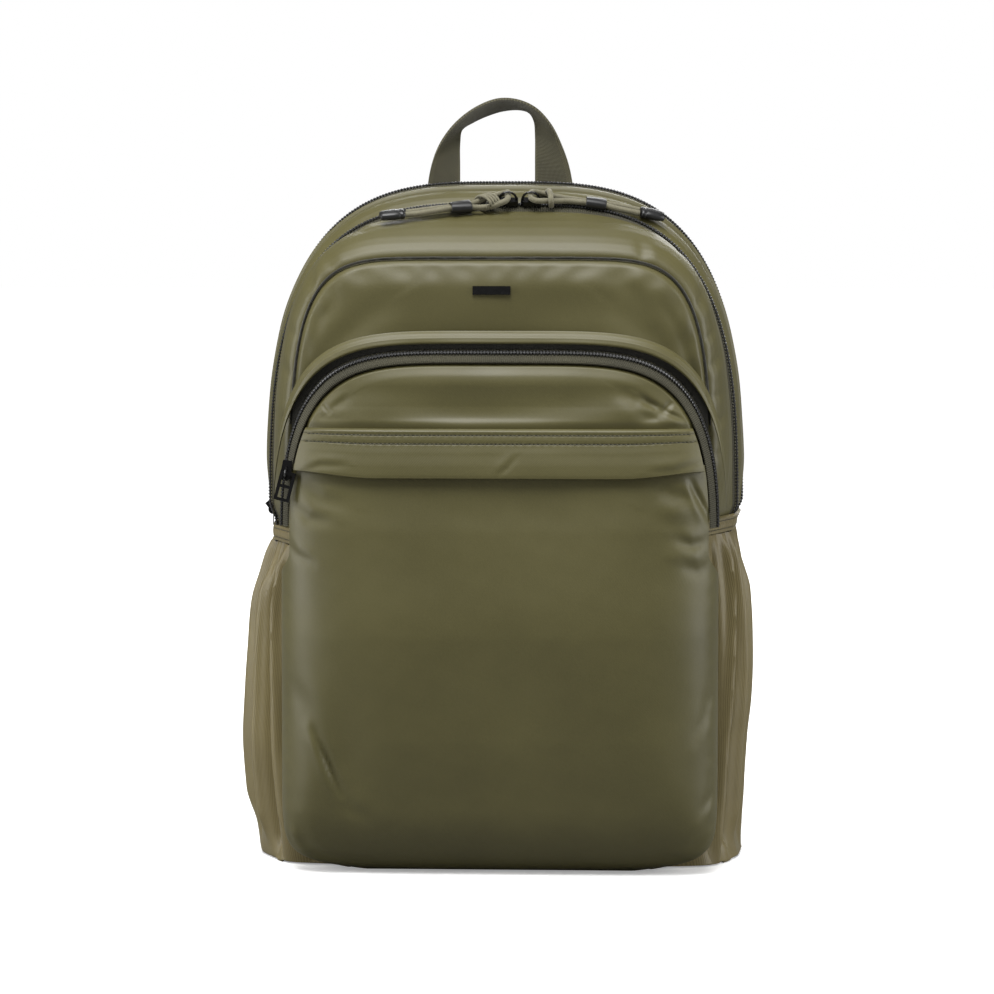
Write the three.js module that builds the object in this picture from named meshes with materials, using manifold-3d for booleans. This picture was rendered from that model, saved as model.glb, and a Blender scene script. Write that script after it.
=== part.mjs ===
// Laptop backpack: a soft nylon day pack that stands on its base.
// Millimetres, +Z up. The front faces -Y and +X is the viewer's right.
// The origin is the centre of the flat underside of the base.
// Each panel is a closed cloth wall of its own, and panels meet at seams with a small gap.
import * as THREE from "three";
import { mergeVertices } from "three/addons/utils/BufferGeometryUtils.js";
import Module from "manifold-3d";

const wasm = await Module();
wasm.setup();

// Clearances and cloth
const GAP = 0.3;
const CLOTH = 2;
const THIN_CLOTH = 1.2;
const WEBBING = 1.8;

// Main body
const BAG_WIDTH = 311;
const BAG_HEIGHT = 439;
const MAIN_DEPTH = 109;
const BASE_EXTRA_DEPTH = 8;
const BACK_FACE_Y = 66;
const BACK_PAD = 12;
const SPINE_CHANNEL_DEPTH = 5;
const SPINE_CHANNEL_WIDTH = 26;
const SPRING_HEIGHT = 220;
const WAIST = 9;
const WAIST_BLEND = 14;
const ZIP_FOOT_HEIGHT = 206;
const ZIP_TAPE = 10;
const ZIP_THICKNESS = 1.6;
const FRONT_PANEL_PUFF = 10.5;

// Front pocket
const POCKET_WIDTH = 279;
const POCKET_HEIGHT = 334;
const POCKET_PUFF = 38;
const POCKET_TUCK = 4;
const POCKET_ARCH_RISE = 1.35;
const POCKET_TAPE = 6;
const POCKET_ZIP_FOOT = 222;
const LIP_OVERHANG = 5;
const LIP_WIDTH = 9;
const FLAP_TOP = 285;
const FLAP_DROP = 31;
const FLAP_THICKNESS = 2.6;
const FLAP_HANG = 2;
const POCKET_LOWER_TOP = 262;
const POCKET_EDGE_BLEND = 16;
const UPPER_BEHIND_FLAP = 14;
const FLAP_END_CLEARANCE = 1;

// Side pockets
const SIDE_POCKET_HEIGHT = 217;
const SIDE_POCKET_BULGE = 24;
const HEM_HEIGHT = 10;
const HEM_THICKNESS = 2.2;
const HEM_PINCH = 45;

// Haul handle and shoulder straps
const HANDLE_OFFSET_X = -6.8;
const HANDLE_SPAN = 98;
const HANDLE_RISE = 57;
const HANDLE_WEB = 23;
const HANDLE_LEG_BOTTOM = 402;
const YOKE_WIDTH = 168;
const YOKE_TOP = 424;
const YOKE_BOTTOM = 394;
const YOKE_THICKNESS = 3;
const STRAP_WIDTH = 68;
const STRAP_THICKNESS = 12;
const STRAP_STANDOFF = 22;
const STRAP_LENGTH = 236;
const STRAP_WEB = 25;
const BUCKLE_HEIGHT = 24;
const BUCKLE_THICKNESS = 4;
const BUCKLE_BAR = 4;
const ANCHOR_THICKNESS = 2;

// Trim
const BADGE_WIDTH = 24;
const BADGE_HEIGHT = 5.4;
const BADGE_THICKNESS = 1.4;
const BADGE_X = -5;
const BADGE_PLACE = 0.553;
const CORD_DIAMETER = 3.8;
const SLEEVE_WALL = 0.9;
const CAP_LENGTH = 16;
const SLIDER_LENGTH = 13;
const SLIDER_WIDTH = 7;
const SLIDER_HEIGHT = 3;
const BAIL_WIRE = 1.6;
const CORD_BAIL_RADIUS = 5.6;
const TAB_BAIL_RADIUS = 4.1;
const COIL_HEIGHT = 1.3;
const LEFT_SLIDER_X = 3.2;
const RIGHT_SLIDER_X = 18;
const REAR_SLIDER_HEIGHT = 226;
const REAR_SLIDER_RAISE = 1.2;
const REAR_BAIL_RADIUS = 2.4;
const REAR_BAIL_SINK = 1.2;
const POCKET_SLIDER_HEIGHT = 257.5;
const TAB_LENGTH = 19;
const TAB_WIDTH = 10;
const TAB_BAR = 2;
const TAB_THICKNESS = 1.8;
const TAB_REST_ANGLE = -4;
const TAB_LEAN = -6;
const TAB_SIDE_SHIFT = 1.7;
const SLIDER_SEAT = 0.42;
const TAB_HINGE_OFFSET = 1.5;

// One row for each sewn line round the body, back to front. Depth is a share of the main depth, width and
// top are shares of the bag's, and across and up say how square the shoulders are.
const SECTIONS = [
  { seam: "back", depth: 0, width: 0.972, top: 0.99, across: 3.3, up: 3.0 },
  { seam: "rearZip", depth: 0.22, width: 1, top: 1, across: 3.3, up: 3.0 },
  { seam: "mainZip", depth: 0.578, width: 0.97, top: 0.967, across: 3.35, up: 3.1 },
  { seam: "front", depth: 1, width: 0.864, top: 0.893, across: 7.2, up: 3.4 },
];
const REAR_ZIP = SECTIONS[1].depth;
const MAIN_ZIP = SECTIONS[2].depth;
const BASE_CORNER = { across: 5, up: 24 };

// How far the front panel and the pocket stand out at each height, as shares of the bag's height
const FRONT_PANEL_PUFF_BY_HEIGHT = [
  { height: 0, puff: 0 },
  { height: 0.55, puff: 0.05 },
  { height: 0.68, puff: 0.25 },
  { height: 0.75, puff: 0.9 },
  { height: 0.8, puff: 1 },
  { height: 0.85, puff: 0.85 },
  { height: 0.9, puff: 0.6 },
];
const POCKET_PUFF_BY_HEIGHT = [
  { height: 0, puff: 0.86 },
  { height: 0.1, puff: 0.94 },
  { height: 0.2, puff: 1 },
  { height: 0.35, puff: 1 },
  { height: 0.5, puff: 0.84 },
  { height: 0.58, puff: 0.7 },
  { height: 0.65, puff: 0.56 },
  { height: 0.71, puff: 0.36 },
  { height: 0.77, puff: 0.12 },
];

const COLOURS = {
  nylon: 0x6f6a42,
  nylonDark: 0x5c5837,
  stretch: 0x857c55,
  webbing: 0x6a6548,
  zip: 0x5a563c,
  cord: 0x8d8768,
  black: 0x141414,
};

const group = new THREE.Group();

function addMesh(name, geometry, colour, roughness = 0.7, metalness = 0) {
  const material = new THREE.MeshStandardMaterial({ color: colour, roughness, metalness });
  const mesh = new THREE.Mesh(geometry, material);
  mesh.name = name;
  group.add(mesh);
  return mesh;
}

// Small maths helpers

const lerp = THREE.MathUtils.lerp;
const clamp = THREE.MathUtils.clamp;
const smooth = (value) => THREE.MathUtils.smoothstep(value, 0, 1);
const power = (value, exponent) => Math.sign(value) * Math.abs(value) ** exponent;

function readTable(rows, keyColumn, valueColumn, key) {
  const last = rows.length - 1;
  if (key <= rows[0][keyColumn]) return rows[0][valueColumn];
  if (key >= rows[last][keyColumn]) return rows[last][valueColumn];
  const k = rows.findIndex((row) => row[keyColumn] > key) - 1;
  const share = (key - rows[k][keyColumn]) / (rows[k + 1][keyColumn] - rows[k][keyColumn]);
  return lerp(rows[k][valueColumn], rows[k + 1][valueColumn], smooth(share) * 0.5 + share * 0.5);
}

function steps(count) {
  return Array.from({ length: count + 1 }, (_, k) => k / count);
}

// Outlines in the XZ plane: two superellipse halves that meet at the spring height. A fraction of 0 is the
// bottom centre, and the outline runs up the left side, over the top and down the right side.

const OUTLINE_STEPS = 720;
const WAIST_TOP = SIDE_POCKET_HEIGHT + 2;

function makeOutline({ halfWidth, top, across, up, bottom = -1.5, spring = SPRING_HEIGHT, waist = 0 }) {
  const points = [];
  for (const share of steps(OUTLINE_STEPS)) {
    const angle = -Math.PI + 2 * Math.PI * share;
    const upper = Math.cos(angle) >= 0;
    const x = halfWidth * power(Math.sin(angle), 2 / (upper ? across : BASE_CORNER.across));
    const rise = upper ? top - spring : spring - bottom;
    const z = spring + rise * power(Math.cos(angle), 2 / (upper ? up : BASE_CORNER.up));
    points.push(new THREE.Vector2(x, z));
  }
  const lengths = [0];
  for (let k = 1; k < points.length; k++) lengths.push(lengths[k - 1] + points[k].distanceTo(points[k - 1]));
  const total = lengths[lengths.length - 1];

  function at(fraction) {
    const target = clamp(fraction, 0, 1) * total;
    let k = lengths.findIndex((length) => length >= target);
    k = Math.max(k, 1);
    const share = (target - lengths[k - 1]) / (lengths[k] - lengths[k - 1] || 1);
    const p = points[k - 1].clone().lerp(points[k], share);
    const drawnIn = waist * smooth((WAIST_TOP + WAIST_BLEND - p.y) / WAIST_BLEND);
    return new THREE.Vector2(p.x - (drawnIn * p.x) / halfWidth, Math.max(p.y, 0));
  }

  // Fraction where the left side passes a height, or where the outline's angle from the top is this
  function atHeight(z) {
    const k = points.findIndex((p) => p.y >= z);
    const share = (z - points[k - 1].y) / (points[k].y - points[k - 1].y);
    return lerp(lengths[k - 1], lengths[k], share) / total;
  }
  const atAngle = (degrees) => lengths[Math.round(((degrees + 180) / 360) * OUTLINE_STEPS)] / total;

  // 0 at the centre of the outline, 1 on it
  function radius(x, z) {
    const upper = z >= spring;
    const a = upper ? across : BASE_CORNER.across;
    const b = upper ? up : BASE_CORNER.up;
    const across_ = Math.abs(x) / halfWidth;
    const up_ = Math.abs(z - spring) / (upper ? top - spring : spring - bottom);
    let low = 0;
    let high = 2;
    for (let k = 0; k < 26; k++) {
      const r = (low + high) / 2;
      if ((across_ / r) ** a + (up_ / r) ** b > 1) low = r;
      else high = r;
    }
    return high;
  }
  return { at, atHeight, atAngle, radius, halfWidth, top, spring };
}

// Body surface: depth 0 is the back pad's front face, depth 1 the front seam

const depthShare = (length) => length / MAIN_DEPTH;

function depthToY(depth, z) {
  return BACK_FACE_Y - depth * (MAIN_DEPTH + BASE_EXTRA_DEPTH * (1 - clamp(z / BAG_HEIGHT, 0, 1)));
}

const bodyOutlines = new Map();

function bodyOutline(depth) {
  if (!bodyOutlines.has(depth)) {
    const column = (name) => {
      const k = clamp(SECTIONS.findIndex((row) => row.depth > depth) - 1, 0, SECTIONS.length - 2);
      const back = depth >= 1 ? SECTIONS[SECTIONS.length - 2] : SECTIONS[k];
      const front = depth >= 1 ? SECTIONS[SECTIONS.length - 1] : SECTIONS[k + 1];
      return lerp(back[name], front[name], (depth - back.depth) / (front.depth - back.depth));
    };
    const made = makeOutline({
      halfWidth: (BAG_WIDTH / 2) * column("width"),
      top: BAG_HEIGHT * column("top"),
      across: column("across"),
      up: column("up"),
      waist: WAIST,
    });
    bodyOutlines.set(depth, made);
  }
  return bodyOutlines.get(depth);
}

function archGrid(depths, columns) {
  return depths.map((depth) => {
    const outline = bodyOutline(depth);
    const feet = [ZIP_FOOT_HEIGHT, WAIST_TOP, WAIST_TOP + WAIST_BLEND].map((z) => outline.atHeight(z));
    const start = feet[feet.length - 1];
    const between = steps(columns - 4).map((share) => lerp(start, 1 - start, share));
    const fractions = [feet[0], feet[1], ...between, 1 - feet[1], 1 - feet[0]];
    return fractions.map((fraction) => {
      const p = outline.at(fraction);
      return new THREE.Vector3(p.x, depthToY(depth, p.y), p.y);
    });
  });
}

// Grids of points, rows by columns, become closed walls

function gridNormals(grid) {
  const rows = grid.length;
  const columns = grid[0].length;
  return grid.map((row, j) =>
    row.map((_, i) => {
      const along = grid[j][Math.min(i + 1, columns - 1)].clone().sub(grid[j][Math.max(i - 1, 0)]);
      const across = grid[Math.min(j + 1, rows - 1)][i].clone().sub(grid[Math.max(j - 1, 0)][i]);
      return along.cross(across).normalize();
    }),
  );
}

function outwardNormals(grid, inside) {
  const normals = gridNormals(grid);
  let facing = 0;
  grid.forEach((row, j) => row.forEach((p, i) => (facing += normals[j][i].dot(p.clone().sub(inside)))));
  if (facing < 0) normals.forEach((row) => row.forEach((n) => n.negate()));
  return normals;
}

function geometryFrom(positions, triangles) {
  const geometry = new THREE.BufferGeometry();
  let volume = 0;
  for (const [a, b, c] of triangles) volume += positions[a].dot(positions[b].clone().cross(positions[c]));
  const faces = volume < 0 ? triangles.map(([a, b, c]) => [a, c, b]) : triangles;
  geometry.setAttribute(
    "position",
    new THREE.Float32BufferAttribute(
      positions.flatMap((p) => [p.x, p.y, p.z]),
      3,
    ),
  );
  geometry.setIndex(faces.flat());
  geometry.computeVertexNormals();
  return geometry;
}

// The closed solid between two grids of the same size
function slab(outer, inner) {
  const rows = outer.length;
  const columns = outer[0].length;
  const positions = [...outer.flat(), ...inner.flat()];
  const far = rows * columns;
  const triangles = [];
  const quad = (a, b, c, d) => triangles.push([a, b, c], [a, c, d]);
  for (let j = 0; j < rows - 1; j++)
    for (let i = 0; i < columns - 1; i++) {
      const a = j * columns + i;
      quad(a, a + 1, a + 1 + columns, a + columns);
      quad(far + a, far + a + columns, far + a + 1 + columns, far + a + 1);
    }
  for (let i = 0; i < columns - 1; i++) {
    const top = (rows - 1) * columns + i;
    quad(i + 1, i, far + i, far + i + 1);
    quad(top, top + 1, far + top + 1, far + top);
  }
  for (let j = 0; j < rows - 1; j++) {
    const left = j * columns;
    const right = left + columns - 1;
    quad(left, left + columns, far + left + columns, far + left);
    quad(right + columns, right, far + right, far + right + columns);
  }
  return geometryFrom(positions, triangles);
}

// A sheet whose middle lies on the grid
function sheet(grid, thickness) {
  const normals = gridNormals(grid);
  const shifted = (amount) => grid.map((row, j) => row.map((p, i) => p.clone().addScaledVector(normals[j][i], amount)));
  return slab(shifted(thickness / 2), shifted(-thickness / 2));
}

const BODY_MIDDLE = new THREE.Vector3(0, (BACK_FACE_Y - MAIN_DEPTH) / 2, BAG_HEIGHT / 2);

// A cloth wall: the grid is its outer face, lift(j, i) raises that face, and the thickness goes inwards
function wall(grid, { thickness = CLOTH, lift = () => 0, inside = BODY_MIDDLE } = {}) {
  const raised = outwardNormals(grid, inside);
  const outer = grid.map((row, j) => row.map((p, i) => p.clone().addScaledVector(raised[j][i], lift(j, i))));
  const normals = outwardNormals(outer, inside);
  const inner = outer.map((row, j) => row.map((p, i) => p.clone().addScaledVector(normals[j][i], -thickness)));
  return slab(outer, inner);
}

// A grid that fills four sides, closer together near its edges
function fillSides({ bottom, top, left, right }, rows, columns) {
  const ease = (share) => lerp(share, (1 - Math.cos(Math.PI * share)) / 2, 0.75);
  return steps(rows).map((rowShare) => {
    const v = ease(rowShare);
    return steps(columns).map((columnShare) => {
      const u = ease(columnShare);
      const ruled = bottom(u).multiplyScalar(1 - v).add(top(u).multiplyScalar(v));
      const crossed = left(v).multiplyScalar(1 - u).add(right(v).multiplyScalar(u));
      const corners = bottom(0)
        .multiplyScalar((1 - u) * (1 - v))
        .add(bottom(1).multiplyScalar(u * (1 - v)))
        .add(top(0).multiplyScalar((1 - u) * v))
        .add(top(1).multiplyScalar(u * v));
      return ruled.add(crossed).sub(corners);
    });
  });
}

// The sides of a whole closed outline, split at its four corners
function outlineSides(outline, topAngle, baseAngle) {
  const at = (from, to) => (share) => outline.at(lerp(from, to, share));
  const topLeft = outline.atAngle(-topAngle);
  const bottomLeft = outline.atAngle(-baseAngle);
  const bottom = (share) => {
    const fraction = lerp(bottomLeft, -bottomLeft, share);
    return outline.at(fraction < 0 ? fraction + 1 : fraction);
  };
  return {
    bottom,
    top: at(topLeft, 1 - topLeft),
    left: at(bottomLeft, topLeft),
    right: at(1 - bottomLeft, 1 - topLeft),
  };
}

// Body strips

const ARCH_COLUMNS = 28;

// A gusset between two depths. Each row of the profile has its place across and how far it stands out.
// It lies flat where the side pockets' hems hold it in.
function gusset(from, to, profile, { thickness = CLOTH, flatten = () => 0 } = {}) {
  const grid = archGrid(
    profile.map((row) => lerp(from, to, row.across)),
    ARCH_COLUMNS,
  );
  const lift = (j, i) => {
    const fullness = smooth((grid[j][i].z - SIDE_POCKET_HEIGHT) / HEM_PINCH);
    return profile[j].lift * fullness * (1 - flatten(i / ARCH_COLUMNS));
  };
  return wall(grid, { thickness, lift });
}

const ZIP_PROFILE = [
  { across: 0, lift: 0 },
  { across: 0.32, lift: 0.1 },
  { across: 0.5, lift: COIL_HEIGHT },
  { across: 0.68, lift: 0.1 },
  { across: 1, lift: 0 },
];
const REAR_PROFILE = [
  { across: 0, lift: 0 },
  { across: 0.5, lift: 2 },
  { across: 1, lift: 0 },
];
const PIPING_LIFT = 3.4;
const MIDDLE_PROFILE = [
  { across: 0, lift: 0 },
  { across: 0.16, lift: 0.6 * PIPING_LIFT },
  { across: 0.3, lift: PIPING_LIFT },
  { across: 0.36, lift: 0.45 * PIPING_LIFT },
  { across: 0.7, lift: 0.8 * PIPING_LIFT },
  { across: 1, lift: 0 },
];
const FRONT_PUFF = 6;
const FRONT_PROFILE = [
  { across: 0, lift: 0 },
  { across: 0.14, lift: 0.6 * FRONT_PUFF },
  { across: 0.4, lift: FRONT_PUFF },
  { across: 0.68, lift: 0.95 * FRONT_PUFF },
  { across: 0.9, lift: 0.5 * FRONT_PUFF },
  { across: 1, lift: 0 },
];
// Creases of the front gusset: place along the arch, width along it and depth, as shares of the puff
const FRONT_CREASES = [
  { along: 0.3, width: 0.022, depth: 0.35 },
  { along: 0.355, width: 0.02, depth: 0.25 },
  { along: 0.66, width: 0.022, depth: 0.35 },
  { along: 0.8, width: 0.02, depth: 0.3 },
  { along: 0.86, width: 0.02, depth: 0.25 },
];

function frontCrease(along) {
  return FRONT_CREASES.reduce((sum, row) => sum + row.depth * Math.exp(-(((along - row.along) / row.width) ** 2)), 0);
}

function makeBodyStrips() {
  const seamGap = depthShare(GAP);
  const halfTape = depthShare(ZIP_TAPE / 2);
  const rear = gusset(seamGap, REAR_ZIP - halfTape - seamGap, REAR_PROFILE);
  addMesh("rear_gusset", rear, COLOURS.nylon);
  const rearZip = gusset(REAR_ZIP - halfTape, REAR_ZIP + halfTape, ZIP_PROFILE, { thickness: ZIP_THICKNESS });
  addMesh("rear_zip", rearZip, COLOURS.zip);
  const middle = gusset(REAR_ZIP + halfTape + seamGap, MAIN_ZIP - halfTape - seamGap, MIDDLE_PROFILE);
  addMesh("mid_gusset", middle, COLOURS.nylon);
  const mainZip = gusset(MAIN_ZIP - halfTape, MAIN_ZIP + halfTape, ZIP_PROFILE, { thickness: ZIP_THICKNESS });
  addMesh("main_zip", mainZip, COLOURS.zip);
  const front = gusset(MAIN_ZIP + halfTape + seamGap, 1, FRONT_PROFILE, { flatten: frontCrease });
  addMesh("front_gusset", front, COLOURS.nylon);
}

// One U-shaped wall: left side, base and right side
function makeSideBasePanel() {
  const columns = 38;
  const depths = [depthShare(GAP), REAR_ZIP, MAIN_ZIP, 1];
  const grid = depths.map((depth) => {
    const outline = bodyOutline(depth);
    const foot = outline.atHeight(ZIP_FOOT_HEIGHT - GAP);
    return steps(columns).map((share) => {
      const fraction = lerp(foot, -foot, share);
      const p = outline.at(fraction < 0 ? fraction + 1 : fraction);
      return new THREE.Vector3(p.x, depthToY(depth, p.y), p.y);
    });
  });
  addMesh("side_base_panel", wall(grid), COLOURS.nylonDark);
}

// Front panel of the main compartment: its outer face at a place in the XZ plane

const frontOutline = bodyOutline(1);

function frontPanelY(x, z) {
  const r = Math.min(frontOutline.radius(x, z), 1);
  const puff = FRONT_PANEL_PUFF * readTable(FRONT_PANEL_PUFF_BY_HEIGHT, "height", "puff", z / BAG_HEIGHT);
  return depthToY(1, z) - GAP - CLOTH - puff * Math.sqrt(Math.max(1 - r ** 7, 0));
}

function makeFrontPanel() {
  const flat = fillSides(outlineSides(frontOutline, 45, 100), 11, 10);
  const grid = flat.map((row) => row.map((p) => new THREE.Vector3(p.x, frontPanelY(p.x, p.y), p.y)));
  const behind = grid.map((row) => row.map((p) => new THREE.Vector3(p.x, p.y + CLOTH, p.z)));
  addMesh("front_panel", slab(grid, behind), COLOURS.nylon);
}

// Back panel: a flat face towards the bag and a padded face towards the wearer
function makeBackPanel() {
  const outline = bodyOutline(0);
  const flat = fillSides(outlineSides(outline, 45, 100), 10, 10);
  const faceY = BACK_FACE_Y + GAP;
  const front = flat.map((row) => row.map((p) => new THREE.Vector3(p.x, faceY, p.y)));
  const back = flat.map((row) =>
    row.map((p) => {
      const r = Math.min(outline.radius(p.x, p.y), 1);
      const edge = lerp(0.45, 1, Math.sqrt(Math.max(1 - r ** 12, 0)));
      const spine = SPINE_CHANNEL_DEPTH * Math.exp(-((p.x / (SPINE_CHANNEL_WIDTH / 2)) ** 2)) * (1 - r ** 4);
      return new THREE.Vector3(p.x, faceY + BACK_PAD * edge - Math.max(spine, 0), p.y);
    }),
  );
  addMesh("back_panel", slab(back, front), COLOURS.nylonDark);
}

const BACK_OUTER_Y = BACK_FACE_Y + GAP + BACK_PAD;

// Front pocket

const pocketOutline = makeOutline({
  halfWidth: POCKET_WIDTH / 2,
  top: POCKET_HEIGHT,
  across: 4.9,
  up: 2.4,
  bottom: 0.6,
});

// Outer face of the pocket where it is sewn down, and anywhere inside that line
const POCKET_SEAT = GAP + POCKET_TUCK / 2;

function pocketEdgeY(x, z) {
  return frontPanelY(x, z) - POCKET_SEAT;
}

function pocketY(x, z) {
  const r = Math.min(pocketOutline.radius(x, z), 1);
  const puff = POCKET_PUFF * readTable(POCKET_PUFF_BY_HEIGHT, "height", "puff", z / BAG_HEIGHT);
  return pocketEdgeY(x, z) - puff * Math.sqrt(Math.max(1 - r ** 6, 0));
}

// The arch of the pocket opening, inset towards the pocket's middle
function pocketArch(inset) {
  return makeOutline({
    halfWidth: POCKET_WIDTH / 2 - inset,
    top: POCKET_HEIGHT - inset * POCKET_ARCH_RISE,
    across: 4.9,
    up: 2.4,
    bottom: 0.6 + inset,
  });
}

function archPoints(outline, columns, foot) {
  const from = outline.atHeight(foot);
  return steps(columns).map((share) => outline.at(lerp(from, 1 - from, share)));
}

function makePocketZip() {
  const columns = 36;
  const rows = ZIP_PROFILE.map((row) => archPoints(pocketArch(POCKET_TAPE * row.across), columns, POCKET_ZIP_FOOT));
  const grid = rows.map((row) => row.map((p) => new THREE.Vector3(p.x, pocketY(p.x, p.y), p.y)));
  const front = grid.map((row, j) => row.map((p) => new THREE.Vector3(p.x, p.y - ZIP_PROFILE[j].lift, p.z)));
  const back = grid.map((row) => row.map((p) => new THREE.Vector3(p.x, p.y + ZIP_THICKNESS, p.z)));
  addMesh("pocket_zip", slab(front, back), COLOURS.zip);
}

// Storm flap: starts on the front panel above the zip and stands out over the zip's outer edge
const LIP_ROWS = [
  { across: 0, forward: 0 },
  { across: 0.5, forward: 0.75 },
  { across: 1, forward: 1 },
];

function makePocketLip() {
  const columns = 30;
  const outerArch = pocketArch(-LIP_WIDTH);
  const innerArch = makeOutline({
    halfWidth: POCKET_WIDTH / 2 + LIP_OVERHANG,
    top: POCKET_HEIGHT + LIP_OVERHANG * 0.8,
    across: 4.9,
    up: 2.4,
  });
  const starts = archPoints(outerArch, columns, POCKET_ZIP_FOOT);
  const ends = archPoints(innerArch, columns, POCKET_ZIP_FOOT);
  const footPull = (z) => smooth((z - POCKET_ZIP_FOOT) / (POCKET_HEIGHT - POCKET_ZIP_FOOT));
  const grid = LIP_ROWS.map((row) =>
    starts.map((start, i) => {
      const p = start.clone().lerp(ends[i], row.across);
      p.x = lerp(ends[i].x, p.x, footPull(p.y));
      const seated = frontPanelY(p.x, p.y) - GAP - CLOTH;
      const proud = pocketEdgeY(p.x, p.y) - ZIP_THICKNESS - CLOTH - GAP;
      return new THREE.Vector3(p.x, lerp(seated, proud, row.forward), p.y);
    }),
  );
  const back = grid.map((row) => row.map((p) => new THREE.Vector3(p.x, p.y + CLOTH, p.z)));
  addMesh("pocket_lip", slab(grid, back), COLOURS.nylon);
}

// The padded pocket above its band
function makePocketUpper() {
  const arch = pocketArch(POCKET_TAPE + 2 * GAP);
  const foot = arch.atHeight(FLAP_TOP - UPPER_BEHIND_FLAP);
  const shoulder = arch.atAngle(-50);
  const part = (from, to) => (share) => arch.at(lerp(from, to, share));
  const sides = {
    bottom: (share) => arch.at(foot).lerp(arch.at(1 - foot), share),
    top: part(shoulder, 1 - shoulder),
    left: part(foot, shoulder),
    right: part(1 - foot, 1 - shoulder),
  };
  const grid = fillSides(sides, 6, 16).map((row) =>
    row.map((p) => new THREE.Vector3(p.x, pocketY(p.x, p.y), p.y)),
  );
  addMesh("pocket_upper", wall(grid), COLOURS.nylon);
}

// The stitched band whose lower edge hangs free over the slip opening
const FLAP_ROWS = [
  { drop: 0, forward: 0.3 },
  { drop: 0.14, forward: 0.45 },
  { drop: 0.34, forward: 0.3 },
  { drop: 0.7, forward: 0.9 },
  { drop: 1, forward: 1 },
];
const FLAP_END_RISE = 4;

function makePocketFlap() {
  const columns = 18;
  const arch = pocketArch(POCKET_TAPE + FLAP_END_CLEARANCE);
  const grid = FLAP_ROWS.map((row) =>
    steps(columns).map((share) => {
      const across = share * 2 - 1;
      const rise = FLAP_END_RISE * smooth((Math.abs(across) - 0.6) / 0.4) * row.drop;
      const z = FLAP_TOP - FLAP_DROP * row.drop + rise;
      const x = across * -arch.at(arch.atHeight(z)).x;
      const y = pocketY(x, z) - GAP - FLAP_THICKNESS - FLAP_HANG * row.forward;
      return new THREE.Vector3(x, y, z);
    }),
  );
  const back = grid.map((row) => row.map((p) => new THREE.Vector3(p.x, p.y + FLAP_THICKNESS, p.z)));
  addMesh("pocket_flap", slab(grid, back), COLOURS.nylon);
}

// The big lower panel, with an edge that tucks back to its seam all round but at the top
function makePocketLower() {
  const inset = (z) => (POCKET_TAPE + 2 * GAP) * smooth((z - POCKET_ZIP_FOOT) / POCKET_EDGE_BLEND + 2);
  const edgeAt = (fraction) => {
    const p = pocketOutline.at(fraction);
    return new THREE.Vector2(p.x - Math.sign(p.x) * inset(p.y), p.y);
  };
  const base = pocketOutline.atAngle(-100);
  const head = pocketOutline.atHeight(POCKET_LOWER_TOP);
  const sides = {
    bottom: (share) => {
      const fraction = lerp(base, -base, share);
      return edgeAt(fraction < 0 ? fraction + 1 : fraction);
    },
    top: (share) => edgeAt(head).lerp(edgeAt(1 - head), share),
    left: (share) => edgeAt(lerp(base, head, share)),
    right: (share) => edgeAt(lerp(1 - base, 1 - head, share)),
  };
  const face = fillSides(sides, 13, 14).map((row) =>
    row.map((p) => new THREE.Vector3(p.x, pocketY(p.x, p.y), p.y)),
  );
  const tucked = (p) => {
    const pull = POCKET_TUCK / (POCKET_WIDTH / 2);
    const z = Math.max(lerp(p.z, SPRING_HEIGHT, pull * 0.2), CLOTH * 0.5);
    const seamX = Math.abs(frontOutline.at(frontOutline.atHeight(z)).x);
    const x = Math.min(Math.abs(p.x) * (1 - pull), seamX);
    return new THREE.Vector3(Math.sign(p.x) * x, frontPanelY(x, z) - GAP, z);
  };
  const withSides = face.map((row) => [tucked(row[0]), ...row, tucked(row[row.length - 1])]);
  const bottomRow = withSides[0].map((p, i) => (i === 0 || i === withSides[0].length - 1 ? p.clone() : tucked(p)));
  bottomRow[0] = tucked(face[0][0]).lerp(bottomRow[1], 0.5);
  bottomRow[bottomRow.length - 1] = tucked(face[0][face[0].length - 1]).lerp(bottomRow[bottomRow.length - 2], 0.5);
  addMesh("pocket_lower", wall([bottomRow, ...withSides]), COLOURS.nylon);
}

// Side pockets: thin stretch cloth with an elastic hem. Bulges are shares of the pocket's bulge.
const SIDE_POCKET_ROWS = [
  { height: 0.085, left: 0.06, right: 0.06 },
  { height: 0.03, left: 0.4, right: 0.3 },
  { height: 0.006, left: 0.64, right: 0.44 },
  { height: 0.08, left: 0.75, right: 0.32 },
  { height: 0.2, left: 0.89, right: 0.39 },
  { height: 0.34, left: 0.98, right: 0.45 },
  { height: 0.47, left: 0.93, right: 0.58 },
  { height: 0.62, left: 0.84, right: 0.62 },
  { height: 0.76, left: 0.73, right: 0.56 },
  { height: 0.87, left: 0.44, right: 0.4 },
  { height: 0.952, left: 0.2, right: 0.22 },
];
const HEM_BULGE = 0.24;
const SIDE_COLUMNS = 12;
const SIDE_FRONT_DEPTH = 0.97;
const SIDE_BACK_DEPTH = 0.03;
const STRAIGHT_SIDE_HEIGHT = 60;
const GATHER = 0.9;

function sidePocketPoint(side, share, z, bulge, clearance) {
  const depth = lerp(SIDE_FRONT_DEPTH, SIDE_BACK_DEPTH, share);
  const outline = bodyOutline(depth);
  const bodyX = -outline.at(outline.atHeight(Math.max(z, STRAIGHT_SIDE_HEIGHT))).x;
  const belly = Math.sin(Math.PI * share) ** 0.7;
  const x = bodyX + clearance + SIDE_POCKET_BULGE * bulge * belly;
  return new THREE.Vector3(side * x, depthToY(depth, z), z);
}

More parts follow.
